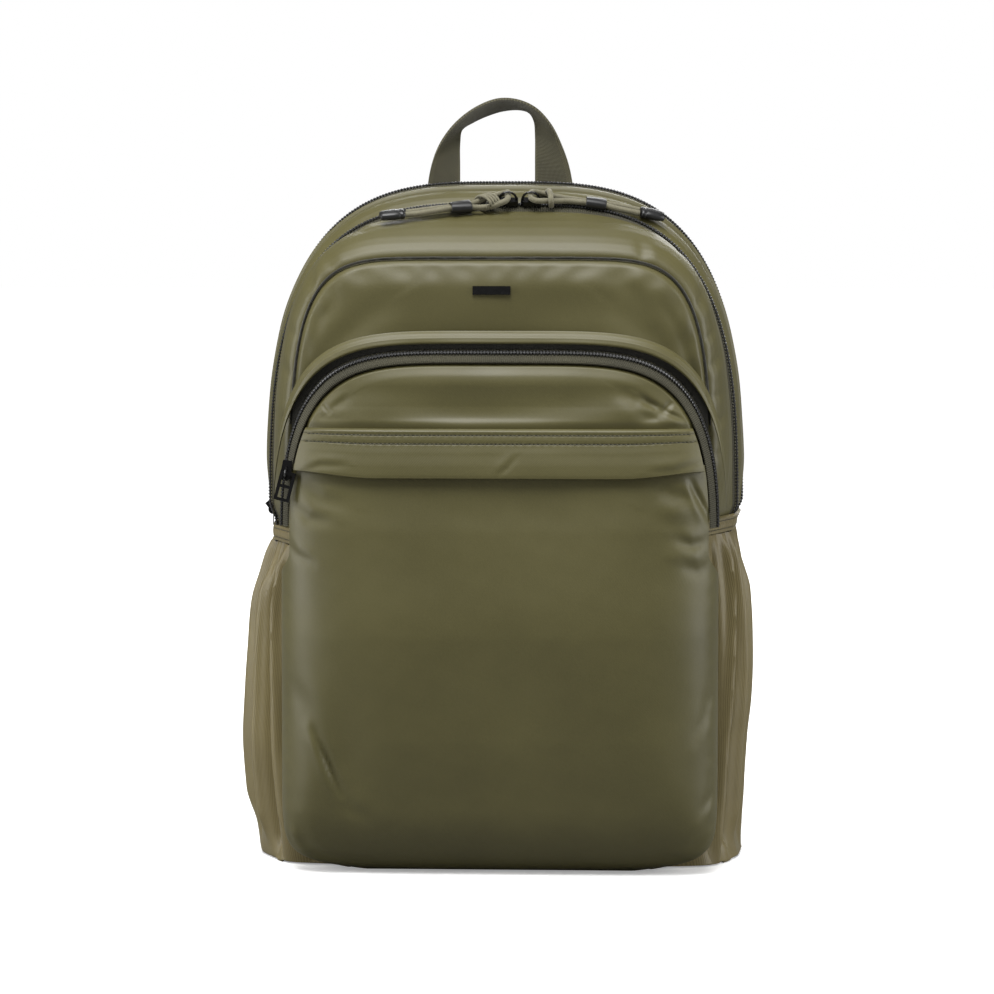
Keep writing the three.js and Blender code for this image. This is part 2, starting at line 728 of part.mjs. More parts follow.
function makeSidePocket(side, label) {
  const seat = GAP + THIN_CLOTH;
  const rows = SIDE_POCKET_ROWS.map((row, j) =>
    steps(SIDE_COLUMNS).map((share, i) => {
      const z = row.height * SIDE_POCKET_HEIGHT;
      const taper = j / (SIDE_POCKET_ROWS.length - 1);
      const gather = (i % 2 ? GATHER : 0) * taper * (i > 0 && i < SIDE_COLUMNS ? 1 : 0);
      return sidePocketPoint(side, share, z, row[label], seat + gather);
    }),
  );
  const inside = new THREE.Vector3(0, 0, SIDE_POCKET_HEIGHT / 2);
  addMesh("side_pocket_" + label, wall(rows, { thickness: THIN_CLOTH, inside }), COLOURS.stretch);
  const hemShares = [SIDE_POCKET_HEIGHT - HEM_HEIGHT + GAP, SIDE_POCKET_HEIGHT - HEM_HEIGHT / 2, SIDE_POCKET_HEIGHT];
  const hem = hemShares.map((z) =>
    steps(SIDE_COLUMNS).map((share) => sidePocketPoint(side, share, z, HEM_BULGE, GAP + HEM_THICKNESS)),
  );
  addMesh("pocket_hem_" + label, wall(hem, { thickness: HEM_THICKNESS, inside }), COLOURS.stretch);
}

// Haul handle: webbing whose legs face the front and whose middle twists to lie flat.
// The outer edge and the inner edge are two arches, and the middle is turned about the strip's length.
const HANDLE_FACE_Y = BACK_OUTER_Y + GAP + WEBBING / 2;
const HANDLE_SPRING = 438;
const HANDLE_INNER_SPRING = 450;
const HANDLE_TILT_DROP = 6.5;
const HANDLE_COLUMNS = 22;
const HANDLE_LEG_SHARE = 0.2;

function handleEdgePoint(share, outerEdge) {
  const side = share < 0.5 ? -1 : 1;
  const fromFoot = Math.min(share, 1 - share);
  const halfSpan = outerEdge ? HANDLE_SPAN / 2 : HANDLE_SPAN / 2 - HANDLE_WEB;
  const spring = outerEdge ? HANDLE_SPRING : HANDLE_INNER_SPRING;
  const top = HANDLE_SPRING + HANDLE_RISE - (outerEdge ? 0 : HANDLE_TILT_DROP);
  if (fromFoot < HANDLE_LEG_SHARE) {
    const z = lerp(HANDLE_LEG_BOTTOM, spring, fromFoot / HANDLE_LEG_SHARE);
    return new THREE.Vector3(HANDLE_OFFSET_X + side * halfSpan, HANDLE_FACE_Y, z);
  }
  const angle = (1 - (fromFoot - HANDLE_LEG_SHARE) / (0.5 - HANDLE_LEG_SHARE)) * (Math.PI / 2);
  const x = halfSpan * Math.sin(angle) ** (outerEdge ? 1.1 : 0.62);
  const z = spring + (top - spring) * Math.cos(angle) ** (outerEdge ? 1.1 : 0.8);
  const turned = smooth(Math.cos(angle) ** 0.9);
  const y = HANDLE_FACE_Y + turned * (outerEdge ? -HANDLE_WEB * 0.42 : HANDLE_WEB * 0.52);
  return new THREE.Vector3(HANDLE_OFFSET_X + side * x, y, z);
}

function makeHandle() {
  const grid = [0, 0.5, 1].map((across) =>
    steps(HANDLE_COLUMNS).map((share) =>
      handleEdgePoint(share, true).lerp(handleEdgePoint(share, false), across),
    ),
  );
  addMesh("haul_handle", sheet(grid, WEBBING), COLOURS.webbing);
}

// Yoke over the sewn ends of the handle
const YOKE_SHAPE = [
  { across: -1, standoff: 0 },
  { across: -0.8, standoff: 0.8 },
  { across: -0.3, standoff: 1 },
  { across: 0.3, standoff: 1 },
  { across: 0.8, standoff: 0.8 },
  { across: 1, standoff: 0 },
];

function makeYoke() {
  const nearY = BACK_OUTER_Y + GAP;
  const grid = [YOKE_BOTTOM, (YOKE_BOTTOM + YOKE_TOP) / 2, YOKE_TOP].map((z) =>
    YOKE_SHAPE.map((row) => {
      const y = nearY + row.standoff * (WEBBING + GAP * 2) + YOKE_THICKNESS;
      return new THREE.Vector3((YOKE_WIDTH / 2) * row.across, y, z);
    }),
  );
  const near = grid.map((row) => row.map((p) => new THREE.Vector3(p.x, p.y - YOKE_THICKNESS, p.z)));
  addMesh("strap_yoke", slab(grid, near), COLOURS.nylonDark);
}

// Lofts a closed solid through rings of points
function loft(rings) {
  const count = rings[0].length;
  const positions = rings.flat();
  const triangles = [];
  for (let k = 0; k < rings.length - 1; k++)
    for (let i = 0; i < count; i++) {
      const a = k * count + i;
      const b = k * count + ((i + 1) % count);
      triangles.push([a, b, b + count], [a, b + count, a + count]);
    }
  const last = (rings.length - 1) * count;
  for (let i = 1; i < count - 1; i++) {
    triangles.push([0, i + 1, i]);
    triangles.push([last, last + i, last + i + 1]);
  }
  return geometryFrom(positions, triangles);
}

// Shoulder straps. Drop is a share of the strap's length, across of half the bag's width, standoff of the
// strap's standoff from the back, and the last two of the strap's own width and thickness.
const STRAP_ROWS = [
  { drop: 0, across: 0.3, standoff: 0.04, width: 0.92, thickness: 0.5 },
  { drop: 0.06, across: 0.31, standoff: 0.25, width: 0.97, thickness: 0.85 },
  { drop: 0.18, across: 0.34, standoff: 0.7, width: 1, thickness: 1 },
  { drop: 0.34, across: 0.38, standoff: 0.97, width: 1, thickness: 1 },
  { drop: 0.5, across: 0.43, standoff: 1, width: 0.97, thickness: 1 },
  { drop: 0.68, across: 0.49, standoff: 0.85, width: 0.88, thickness: 1 },
  { drop: 0.84, across: 0.54, standoff: 0.6, width: 0.76, thickness: 0.95 },
  { drop: 0.96, across: 0.565, standoff: 0.42, width: 0.64, thickness: 0.75 },
  { drop: 1, across: 0.57, standoff: 0.38, width: 0.52, thickness: 0.5 },
];
const STRAP_SIDES = 12;
const STRAP_END = STRAP_ROWS[STRAP_ROWS.length - 1];
const STRAP_END_X = (BAG_WIDTH / 2) * STRAP_END.across;
const STRAP_END_Z = YOKE_BOTTOM - GAP - STRAP_LENGTH;
const STRAP_END_Y = BACK_OUTER_Y + STRAP_STANDOFF * STRAP_END.standoff + (STRAP_THICKNESS * STRAP_END.thickness) / 2;

function makeShoulderStrap(side, label) {
  const rings = STRAP_ROWS.map((row) => {
    const thick = STRAP_THICKNESS * row.thickness;
    const y = BACK_OUTER_Y + GAP + STRAP_STANDOFF * row.standoff + thick / 2;
    const x = (BAG_WIDTH / 2) * row.across;
    const z = YOKE_BOTTOM - GAP - STRAP_LENGTH * row.drop;
    return steps(STRAP_SIDES)
      .slice(0, STRAP_SIDES)
      .map((share) => {
        const angle = 2 * Math.PI * share;
        const along = ((STRAP_WIDTH * row.width) / 2) * power(Math.cos(angle), 0.7);
        const out = (thick / 2) * power(Math.sin(angle), 0.55);
        return new THREE.Vector3(side * (x + along), y + out, z);
      });
  });
  addMesh("shoulder_strap_" + label, loft(rings), COLOURS.nylonDark);
}

// Ladder-lock buckle: a plate with two slots
const BUCKLE_WIDTH = STRAP_WEB + 2 * BUCKLE_BAR + 2;
const BUCKLE_SLOT = (BUCKLE_HEIGHT - 3 * BUCKLE_BAR) / 2;
const BUCKLE_TOP = STRAP_END_Z - GAP;

function rectangle(path, left, bottom, width, height) {
  path.moveTo(left, bottom);
  path.lineTo(left + width, bottom);
  path.lineTo(left + width, bottom + height);
  path.lineTo(left, bottom + height);
  path.lineTo(left, bottom);
  return path;
}

function makeBuckle(side, label) {
  const shape = rectangle(new THREE.Shape(), -BUCKLE_WIDTH / 2, -BUCKLE_HEIGHT, BUCKLE_WIDTH, BUCKLE_HEIGHT);
  const slotWidth = BUCKLE_WIDTH - 2 * BUCKLE_BAR;
  for (const slot of [1, 2]) {
    const bottom = -slot * (BUCKLE_BAR + BUCKLE_SLOT);
    shape.holes.push(rectangle(new THREE.Path(), -slotWidth / 2, bottom, slotWidth, BUCKLE_SLOT));
  }
  const geometry = new THREE.ExtrudeGeometry(shape, { depth: BUCKLE_THICKNESS, bevelEnabled: false });
  geometry.rotateX(Math.PI / 2);
  geometry.translate(side * STRAP_END_X, STRAP_END_Y + BUCKLE_THICKNESS / 2, BUCKLE_TOP);
  addMesh("strap_buckle_" + label, geometry, COLOURS.black, 0.45);
}

// A flat ribbon along hand-chosen points. Each point has its place and the direction of the width.
function ribbon(points, width, thickness) {
  const path = new THREE.CatmullRomCurve3(points.map((row) => row.at), false, "centripetal");
  const columns = points.length * 2;
  const edge = (sign) =>
    steps(columns).map((share) => {
      const place = share * (points.length - 1);
      const k = Math.min(Math.floor(place), points.length - 2);
      const direction = points[k].width.clone().lerp(points[k + 1].width, place - k).normalize();
      return path.getPoint(share).addScaledVector(direction, (sign * width) / 2);
    });
  return sheet([edge(-1), edge(1)], thickness);
}

// Lower strap webbing: its tail hangs in front of the buckle, it turns over the middle bar and runs to the
// anchor at the base. Bow is how far out the run swings, as a share of half the bag's width.
const WEBBING_RUN = [
  { side: "left", sign: -1, bow: 1.03 },
  { side: "right", sign: 1, bow: 0.92 },
];
const ANCHOR_X = 138;
const ANCHOR_Z = 34;
const ANCHOR_WIDTH = 30;
const ANCHOR_HEIGHT = 20;

function makeStrapWebbing({ side, sign, bow }) {
  const x = STRAP_END_X;
  const y = STRAP_END_Y;
  const barTop = BUCKLE_TOP - BUCKLE_BAR - BUCKLE_SLOT;
  const clear = BUCKLE_THICKNESS / 2 + WEBBING + GAP;
  const outX = (BAG_WIDTH / 2) * bow;
  const flatY = BACK_OUTER_Y + GAP + WEBBING;
  const across = new THREE.Vector3(1, 0, 0);
  const slanted = new THREE.Vector3(0.75, 0, 0.66);
  const steep = new THREE.Vector3(0.98, 0, 0.2);
  const rows = [
    { at: [x, y + clear + 1, barTop - 42], width: across },
    { at: [x, y + clear + 0.6, barTop - 20], width: across },
    { at: [x, y + clear, barTop - 4], width: across },
    { at: [x, y + 0.95 * clear, barTop], width: across },
    { at: [x, y, barTop + BUCKLE_SLOT * 0.55], width: across },
    { at: [x, y - 0.95 * clear, barTop], width: across },
    { at: [x, y - clear, barTop - 4], width: across },
    { at: [x, y - clear - 0.6, barTop - 20], width: across },
    { at: [lerp(x, outX, 0.14), y - clear, barTop - 38], width: slanted },
    { at: [lerp(x, outX, 0.6), lerp(y, flatY, 0.3), barTop - 57], width: slanted },
    { at: [outX, lerp(y, flatY, 0.5), barTop - 84], width: steep },
    { at: [lerp(outX, ANCHOR_X, 0.6), flatY + 4.5, ANCHOR_Z + 12], width: slanted },
    { at: [ANCHOR_X, flatY + ANCHOR_THICKNESS, ANCHOR_Z - 4], width: slanted },
  ];
  const points = rows.map((row) => ({
    at: new THREE.Vector3(sign * row.at[0], row.at[1], row.at[2]),
    width: new THREE.Vector3(sign * row.width.x, row.width.y, row.width.z),
  }));
  addMesh("strap_webbing_" + side, ribbon(points, STRAP_WEB, WEBBING), COLOURS.webbing);
}

function makeAnchor(sign, label) {
  const shape = new THREE.Shape();
  shape.moveTo(-ANCHOR_WIDTH / 2, -ANCHOR_HEIGHT / 2);
  shape.lineTo(ANCHOR_WIDTH / 2, -ANCHOR_HEIGHT / 2);
  shape.lineTo(ANCHOR_WIDTH / 4, ANCHOR_HEIGHT / 2);
  shape.lineTo(-ANCHOR_WIDTH / 2, ANCHOR_HEIGHT / 2);
  shape.closePath();
  const geometry = new THREE.ExtrudeGeometry(shape, { depth: ANCHOR_THICKNESS, bevelEnabled: false });
  geometry.rotateX(Math.PI / 2);
  geometry.translate(sign * (ANCHOR_X - 10), BACK_OUTER_Y + GAP + ANCHOR_THICKNESS, ANCHOR_Z);
  addMesh("strap_anchor_" + label, geometry, COLOURS.nylonDark);
}

// Solids that are joined

function solidFrom(geometry) {
  const bare = new THREE.BufferGeometry().setAttribute("position", geometry.getAttribute("position"));
  bare.setIndex(geometry.index);
  const merged = mergeVertices(bare, 1e-4);
  return new wasm.Manifold(
    new wasm.Mesh({
      numProp: 3,
      vertProperties: merged.attributes.position.array,
      triVerts: new Uint32Array(merged.index.array),
    }),
  );
}

function geometryOf(solid) {
  const mesh = solid.getMesh();
  const geometry = new THREE.BufferGeometry();
  geometry.setAttribute("position", new THREE.BufferAttribute(new Float32Array(mesh.vertProperties), 3));
  geometry.setIndex(new THREE.BufferAttribute(new Uint32Array(mesh.triVerts), 1));
  geometry.computeVertexNormals();
  return geometry;
}

// Zip sliders. In a slider's own frame X runs across the tape, Y along it and Z stands out from it.

function sliderGeometry(bailRadius, bailOffset = 0, bailSink = 0) {
  const corner = SLIDER_WIDTH * 0.3;
  const halfWidth = SLIDER_WIDTH / 2;
  const halfLength = SLIDER_LENGTH / 2;
  const shape = new THREE.Shape([
    new THREE.Vector2(-halfWidth, -halfLength + corner),
    new THREE.Vector2(-halfWidth + corner, -halfLength),
    new THREE.Vector2(halfWidth - corner, -halfLength),
    new THREE.Vector2(halfWidth, -halfLength + corner),
    new THREE.Vector2(halfWidth * 0.8, halfLength),
    new THREE.Vector2(-halfWidth * 0.8, halfLength),
  ]);
  const body = new THREE.ExtrudeGeometry(shape, { depth: SLIDER_HEIGHT, bevelEnabled: false });
  const ring = new THREE.TorusGeometry(bailRadius, BAIL_WIRE / 2, 6, 14);
  ring.rotateY(Math.PI / 2);
  ring.translate(0, bailOffset, SLIDER_HEIGHT - bailSink);
  const reach = 4 * bailRadius;
  const below = new THREE.BoxGeometry(reach, reach, reach);
  below.translate(0, bailOffset, SLIDER_HEIGHT / 2 - reach / 2);
  return geometryOf(solidFrom(body).add(solidFrom(ring).subtract(solidFrom(below))));
}

function placeMesh(mesh, frame) {
  mesh.applyMatrix4(new THREE.Matrix4().makeBasis(frame.across, frame.along, frame.out).setPosition(frame.at));
  return mesh;
}

// Frame on an arched zip of the body, on its coil, at a fraction of the arch
function bodyZipFrame(depth, fraction) {
  const pointAt = (place, depthAt) => {
    const p = bodyOutline(depthAt).at(place);
    return new THREE.Vector3(p.x, depthToY(depthAt, p.y), p.y);
  };
  const nudge = 0.004;
  const halfTape = depthShare(ZIP_TAPE / 2);
  const along = pointAt(fraction + nudge, depth).sub(pointAt(fraction - nudge, depth)).normalize();
  const across = pointAt(fraction, depth + halfTape).sub(pointAt(fraction, depth - halfTape));
  const out = across.clone().cross(along).normalize();
  if (out.dot(pointAt(fraction, depth).sub(BODY_MIDDLE)) < 0) out.negate();
  const at = pointAt(fraction, depth).addScaledVector(out, COIL_HEIGHT + GAP);
  return { at, along, out, across: along.clone().cross(out) };
}

// The fraction of an outline's arch where it passes over a place across the bag
function fractionAbove(outline, x) {
  let low = outline.atHeight(SPRING_HEIGHT);
  let high = 1 - low;
  for (let k = 0; k < 30; k++) {
    const middle = (low + high) / 2;
    if (outline.at(middle).x < x) low = middle;
    else high = middle;
  }
  return low;
}

function makeBodySliders() {
  const main = bodyOutline(MAIN_ZIP);
  for (const [label, x] of [
    ["left", LEFT_SLIDER_X],
    ["right", RIGHT_SLIDER_X],
  ]) {
    const mesh = addMesh("main_slider_" + label, sliderGeometry(CORD_BAIL_RADIUS), COLOURS.black, 0.3, 0.6);
    placeMesh(mesh, bodyZipFrame(MAIN_ZIP, fractionAbove(main, x)));
  }
  // The rear slider is parked at the left foot of its zip, where the strips draw in
  const rear = addMesh("rear_slider", sliderGeometry(REAR_BAIL_RADIUS, 0, REAR_BAIL_SINK), COLOURS.black, 0.3, 0.6);
  const frame = bodyZipFrame(REAR_ZIP, bodyOutline(REAR_ZIP).atHeight(REAR_SLIDER_HEIGHT));
  frame.at.addScaledVector(frame.out, REAR_SLIDER_RAISE);
  placeMesh(rear, frame);
}

// Frame on the left leg of the pocket's zip. The slider faces the front, clear of the tape's inner edge.
function pocketZipFrame(height) {
  const pointAt = (inset, z) => {
    const arch = pocketArch(inset);
    const p = arch.at(arch.atHeight(z));
    return new THREE.Vector3(p.x, pocketY(p.x, z), z);
  };
  const reach = ZIP_TAPE / 2;
  const seat = POCKET_TAPE * SLIDER_SEAT;
  const along = pointAt(seat, height + reach).sub(pointAt(seat, height - reach)).normalize();
  const out = new THREE.Vector3(0, -1, 0);
  out.addScaledVector(along, -out.dot(along)).normalize();
  const at = pointAt(seat, height);
  const proud = at.y - pointAt(POCKET_TAPE, height).y;
  at.addScaledVector(out, proud + 2 * GAP);
  return { at, along, out, across: along.clone().cross(out) };
}

const TAB_PIN_HEIGHT = SLIDER_HEIGHT + Math.hypot(TAB_BAR, TAB_THICKNESS) / 2 + GAP + 0.1;

// The hanging pull: a plate with two windows, hung by its top bar in the slider's bail
function tabGeometry() {
  const top = TAB_BAR / 2;
  const shape = rectangle(new THREE.Shape(), -TAB_WIDTH / 2, top - TAB_LENGTH, TAB_WIDTH, TAB_LENGTH);
  const window = (TAB_LENGTH - 3 * TAB_BAR) / 2;
  for (const k of [1, 2]) {
    const bottom = top - k * (TAB_BAR + window);
    const hole = rectangle(new THREE.Path(), TAB_BAR - TAB_WIDTH / 2, bottom, TAB_WIDTH - 2 * TAB_BAR, window);
    shape.holes.push(hole);
  }
  const geometry = new THREE.ExtrudeGeometry(shape, { depth: TAB_THICKNESS, bevelEnabled: false });
  geometry.translate(0, 0, -TAB_THICKNESS / 2);
  geometry.rotateZ(THREE.MathUtils.degToRad(TAB_LEAN));
  geometry.rotateX(THREE.MathUtils.degToRad(TAB_REST_ANGLE));
  geometry.translate(TAB_SIDE_SHIFT, -TAB_HINGE_OFFSET, TAB_PIN_HEIGHT);
  return geometry;
}

function makePocketSlider() {
  const frame = pocketZipFrame(POCKET_SLIDER_HEIGHT);
  const slider = addMesh("pocket_slider", sliderGeometry(TAB_BAIL_RADIUS, -TAB_HINGE_OFFSET), COLOURS.black, 0.3, 0.6);
  placeMesh(slider, frame);
  placeMesh(addMesh("pull_tab", tabGeometry(), COLOURS.black, 0.3, 0.6), frame);
}

// Cord pulls. Each cord is one length, doubled: out of the cap, through the sleeve, through the slider's
// bail and back. The points are chosen by hand.
const CORDS = {
  left: {
    route: [
      [-62, -17.6, 419],
      [-54, -16.4, 419.8],
      [-46, -14.6, 421],
      [-38, -12.4, 422.3],
      [-33, -11.1, 423],
      [-27, -9.9, 423.5],
      [-21, -9, 423.7],
      [-14, -8.4, 423.7],
      [-7, -8.2, 424.4],
      [-1.4, -7.4, 426.4],
      [2.2, -5.4, 428],
      [3.2, -3, 429.4],
      [3.2, -0.5, 430.7],
      [3.2, 2.6, 432.3],
      [2.8, 6.4, 433.3],
      [0.2, 9.4, 432.8],
      [-4.4, 9.2, 431.4],
      [-9.4, 5.8, 429.8],
      [-14, 2, 428.4],
      [-18.6, -1.6, 426.3],
      [-23, -4.2, 425],
      [-28, -5.4, 424.3],
      [-34, -6.8, 423.8],
      [-40, -8.3, 423.2],
      [-48, -10.5, 422.3],
      [-56, -12.4, 421.2],
      [-62, -13.4, 420.6],
    ],
    sleeveAt: [-33.5, -20.5],
    capDirection: [-1, -0.2, -0.1],
  },
  right: {
    route: [
      [88, 6.5, 419.8],
      [84, 5.4, 420.6],
      [78, 4.2, 421.9],
      [72, 3.2, 423.2],
      [66, 2.4, 424.8],
      [60, 1.8, 425.7],
      [54, 1.5, 426.6],
      [48, 1.4, 427.2],
      [41, 1, 427.8],
      [34, -0.8, 427.7],
      [27.6, -3.6, 427.8],
      [22.4, -5.4, 427.9],
      [19, -3.8, 429],
      [18, -2, 429.9],
      [18, -0.5, 430.7],
      [18, 2.6, 432.3],
      [18.4, 6.8, 433.4],
      [21, 10.4, 433.3],
      [26, 11.2, 432.5],
      [31, 9.8, 431.2],
      [36, 7.8, 430.2],
      [42, 6.4, 429.3],
      [48, 5.9, 428.5],
      [54, 5.9, 427.6],
      [60, 6.2, 426.7],
      [66, 6.8, 426],
      [72, 7.6, 425.1],
      [78, 8.7, 424],
      [84, 10, 422.6],
      [88, 10.9, 421.8],
    ],
    sleeveAt: [53.5, 66.5],
    capDirection: [1, 0.25, -0.2],
  },
};
const CORD_SIDES = 8;
const CORD_END_GAP = 3 * GAP;
const SLEEVE_CLEARANCE = 0.7;
const CAP_RINGS = [
  { along: 0, size: 1 },
  { along: 0.45, size: 1.05 },
  { along: 0.9, size: 0.9 },
  { along: 1, size: 0.7 },
];
const CORD_STEPS = 32;

function cordPoints(route) {
  return route.map(([x, y, z]) => new THREE.Vector3(x, y, z));
}

// Where the front and the rear strand pass a place across the bag
function strandsAt(points, x) {
  const half = Math.floor(points.length / 2);
  const find = (strand) => {
    const k = strand.findIndex((p, i) => i > 0 && (p.x - x) * (strand[i - 1].x - x) <= 0);
    const share = (x - strand[k - 1].x) / (strand[k].x - strand[k - 1].x);
    return strand[k - 1].clone().lerp(strand[k], share);
  };
  return [find(points.slice(0, half)), find(points.slice(half))];
}

// An oval ring of points round two strands
const OVAL_SIDES = 12;

function ovalRing(front, rear, direction, radius) {
  const middle = front.clone().lerp(rear, 0.5);
  const wide = rear.clone().sub(front);
  const halfWide = wide.length() / 2 + radius;
  wide.addScaledVector(direction, -wide.dot(direction)).normalize();
  const tall = direction.clone().cross(wide).normalize();
  return steps(OVAL_SIDES)
    .slice(0, OVAL_SIDES)
    .map((share) => {
      const angle = 2 * Math.PI * share;
      return middle
        .clone()
        .addScaledVector(wide, halfWide * power(Math.cos(angle), 0.8))
        .addScaledVector(tall, radius * power(Math.sin(angle), 0.8));
    });
}

// A tube whose rings close on themselves both ways
function closedTube(rings) {
  const count = rings[0].length;
  const triangles = [];
  rings.forEach((_, k) => {
    const next = ((k + 1) % rings.length) * count;
    for (let i = 0; i < count; i++) {
      const j = (i + 1) % count;
      triangles.push([k * count + i, k * count + j, next + j], [k * count + i, next + j, next + i]);
    }
  });
  return geometryFrom(rings.flat(), triangles);
}

function makeCordPull(label) {
  const { route, sleeveAt, capDirection } = CORDS[label];
  const points = cordPoints(route);
  const radius = CORD_DIAMETER / 2;
  const section = new THREE.Shape(
    steps(CORD_SIDES)
      .slice(0, CORD_SIDES)
      .map((share) => new THREE.Vector2(radius, 0).rotateAround(new THREE.Vector2(), 2 * Math.PI * share)),
  );
  const extrudePath = new THREE.CatmullRomCurve3(points, false, "centripetal");
  const cord = new THREE.ExtrudeGeometry(section, { steps: CORD_STEPS, extrudePath, bevelEnabled: false });
  addMesh("cord_pull_" + label, cord, COLOURS.cord);

  const [start, end] = sleeveAt.map((x) => strandsAt(points, x));
  const sleeveDirection = end[0].clone().add(end[1]).sub(start[0]).sub(start[1]).normalize();
  const bore = radius + SLEEVE_CLEARANCE;
  const sleeve = closedTube([
    ovalRing(...start, sleeveDirection, bore),
    ovalRing(...start, sleeveDirection, bore + SLEEVE_WALL),
    ovalRing(...end, sleeveDirection, bore + SLEEVE_WALL),
    ovalRing(...end, sleeveDirection, bore),
  ]);
  addMesh("cord_sleeve_" + label, sleeve, COLOURS.black, 0.5);

  const direction = new THREE.Vector3(...capDirection).normalize();
  const ends = [points[0], points[points.length - 1]].map((p) => p.clone().addScaledVector(direction, CORD_END_GAP));
  const cap = loft(
    CAP_RINGS.map(({ along, size }) => {
      const moved = ends.map((p) => p.clone().addScaledVector(direction, along * CAP_LENGTH));
      const centre = moved[0].clone().lerp(moved[1], 0.5);
      const drawn = moved.map((p) => p.lerp(centre, 1 - size));
      return ovalRing(...drawn, direction, (radius + SLEEVE_WALL) * size);
    }),
  );
  addMesh("cord_cap_" + label, cap, COLOURS.black, 0.5);
}

// Plain bar on the front panel, between the storm flap and the front seam
function makeBadge() {
  const reach = BADGE_HEIGHT / 2;
  const lipTop = POCKET_HEIGHT + LIP_WIDTH * POCKET_ARCH_RISE;
  const z = lerp(lipTop, frontOutline.top, BADGE_PLACE);
  const low = frontPanelY(BADGE_X, z - reach);
  const high = frontPanelY(BADGE_X, z + reach);
  const shape = rectangle(new THREE.Shape(), -BADGE_WIDTH / 2, -reach, BADGE_WIDTH, BADGE_HEIGHT);
  const geometry = new THREE.ExtrudeGeometry(shape, { depth: BADGE_THICKNESS, bevelEnabled: false });
  geometry.rotateX(Math.PI / 2 - Math.atan2(high - low, BADGE_HEIGHT));
  geometry.translate(BADGE_X, (low + high) / 2 - 2 * GAP, z);
  addMesh("badge_bar", geometry, COLOURS.black, 0.3, 0.7);
}

makeBodyStrips();
makeSideBasePanel();
makeFrontPanel();
makeBackPanel();
makePocketZip();
makePocketLip();
makePocketUpper();
makePocketFlap();
makePocketLower();
makeSidePocket(-1, "left");
makeSidePocket(1, "right");
makeHandle();
makeYoke();
for (const [sign, label] of [
  [-1, "left"],
  [1, "right"],
]) {
  makeShoulderStrap(sign, label);
  makeBuckle(sign, label);
  makeAnchor(sign, label);
}
WEBBING_RUN.forEach(makeStrapWebbing);
makeBodySliders();
makePocketSlider();
makeCordPull("left");
makeCordPull("right");
makeBadge();

export default group;
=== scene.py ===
# Laptop backpack: the dressed model. Sizes are millimetres until a mesh is made, and metres after that.
# The front faces -Y, +X is the viewer's right and the floor is z = 0.
import math

import bpy
import numpy as np
from mathutils import Matrix, Vector


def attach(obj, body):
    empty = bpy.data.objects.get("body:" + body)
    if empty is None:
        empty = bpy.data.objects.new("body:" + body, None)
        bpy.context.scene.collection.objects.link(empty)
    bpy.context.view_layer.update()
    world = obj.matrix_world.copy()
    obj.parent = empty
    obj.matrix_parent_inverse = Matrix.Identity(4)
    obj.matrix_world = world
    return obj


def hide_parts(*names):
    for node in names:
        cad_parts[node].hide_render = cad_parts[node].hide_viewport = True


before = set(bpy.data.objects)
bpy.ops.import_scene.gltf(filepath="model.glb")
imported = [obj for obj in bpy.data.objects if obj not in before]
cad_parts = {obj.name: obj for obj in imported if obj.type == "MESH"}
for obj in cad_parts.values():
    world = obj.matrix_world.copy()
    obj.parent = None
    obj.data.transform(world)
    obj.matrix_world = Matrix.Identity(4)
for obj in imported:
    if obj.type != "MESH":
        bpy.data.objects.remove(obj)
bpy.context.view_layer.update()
MM = 0.001

# Camera and studio

AZIMUTH = math.radians(2.5)
ELEVATION = math.radians(5.0)
DISTANCE = 2400
TARGET = np.array([-3.9, 0, 235.6])
LENS = 133.5
SENSOR = 36


def make_camera():
    data = bpy.data.cameras.new("camera")
    data.lens = LENS
    data.sensor_width = SENSOR
    data.clip_start = 0.05
    data.clip_end = 60
    camera = bpy.data.objects.new("camera", data)
    forward = np.array(
        [
            -math.sin(AZIMUTH) * math.cos(ELEVATION),
            math.cos(AZIMUTH) * math.cos(ELEVATION),
            -math.sin(ELEVATION),
        ]
    )
    right = np.array([math.cos(AZIMUTH), math.sin(AZIMUTH), 0])
    up = np.cross(right, forward)
    place = (TARGET - DISTANCE * forward) * MM
    columns = np.column_stack([right, up, -forward, place])
    camera.matrix_world = Matrix([*columns.tolist(), [0, 0, 0, 1]])
    bpy.context.scene.collection.objects.link(camera)
    bpy.context.scene.camera = camera


LIGHT_AIM = (0, 0, 0.24)
# Soft boxes, in metres and watts: name, place, width and height, power
SOFTBOXES = [
    ("top_softbox", (-0.15, -0.8, 1.7), (1.3, 0.7), 19),
    ("left_softbox", (-1.5, -0.5, 0.5), (0.6, 1.4), 19),
    ("back_fill", (0.2, 2.2, 1.2), (1.4, 1.0), 26),
    ("right_softbox", (1.5, -0.4, 0.5), (0.6, 1.4), 17),
]
ROOM_LIGHT = 0.16
SUN_POWER = 2.3
SUN_ANGLE = math.radians(36)
SUN_TURN = (math.radians(12), math.radians(-6), 0)
FLOOR_REACH = 12
FLOOR_WHITE = (0.93, 0.93, 0.93, 1)
FLOOR_BOUNCE = (0.24, 0.24, 0.23, 1)
FLOOR_GLOW = 0.3


def area_light(name, place, size, power):
    data = bpy.data.lights.new(name, "AREA")
    data.shape = "RECTANGLE"
    data.size, data.size_y = size
    data.energy = power
    light = bpy.data.objects.new(name, data)
    light.location = place
    away = Vector(place) - Vector(LIGHT_AIM)
    light.rotation_mode = "QUATERNION"
    light.rotation_quaternion = away.to_track_quat("Z", "Y")
    bpy.context.scene.collection.objects.link(light)


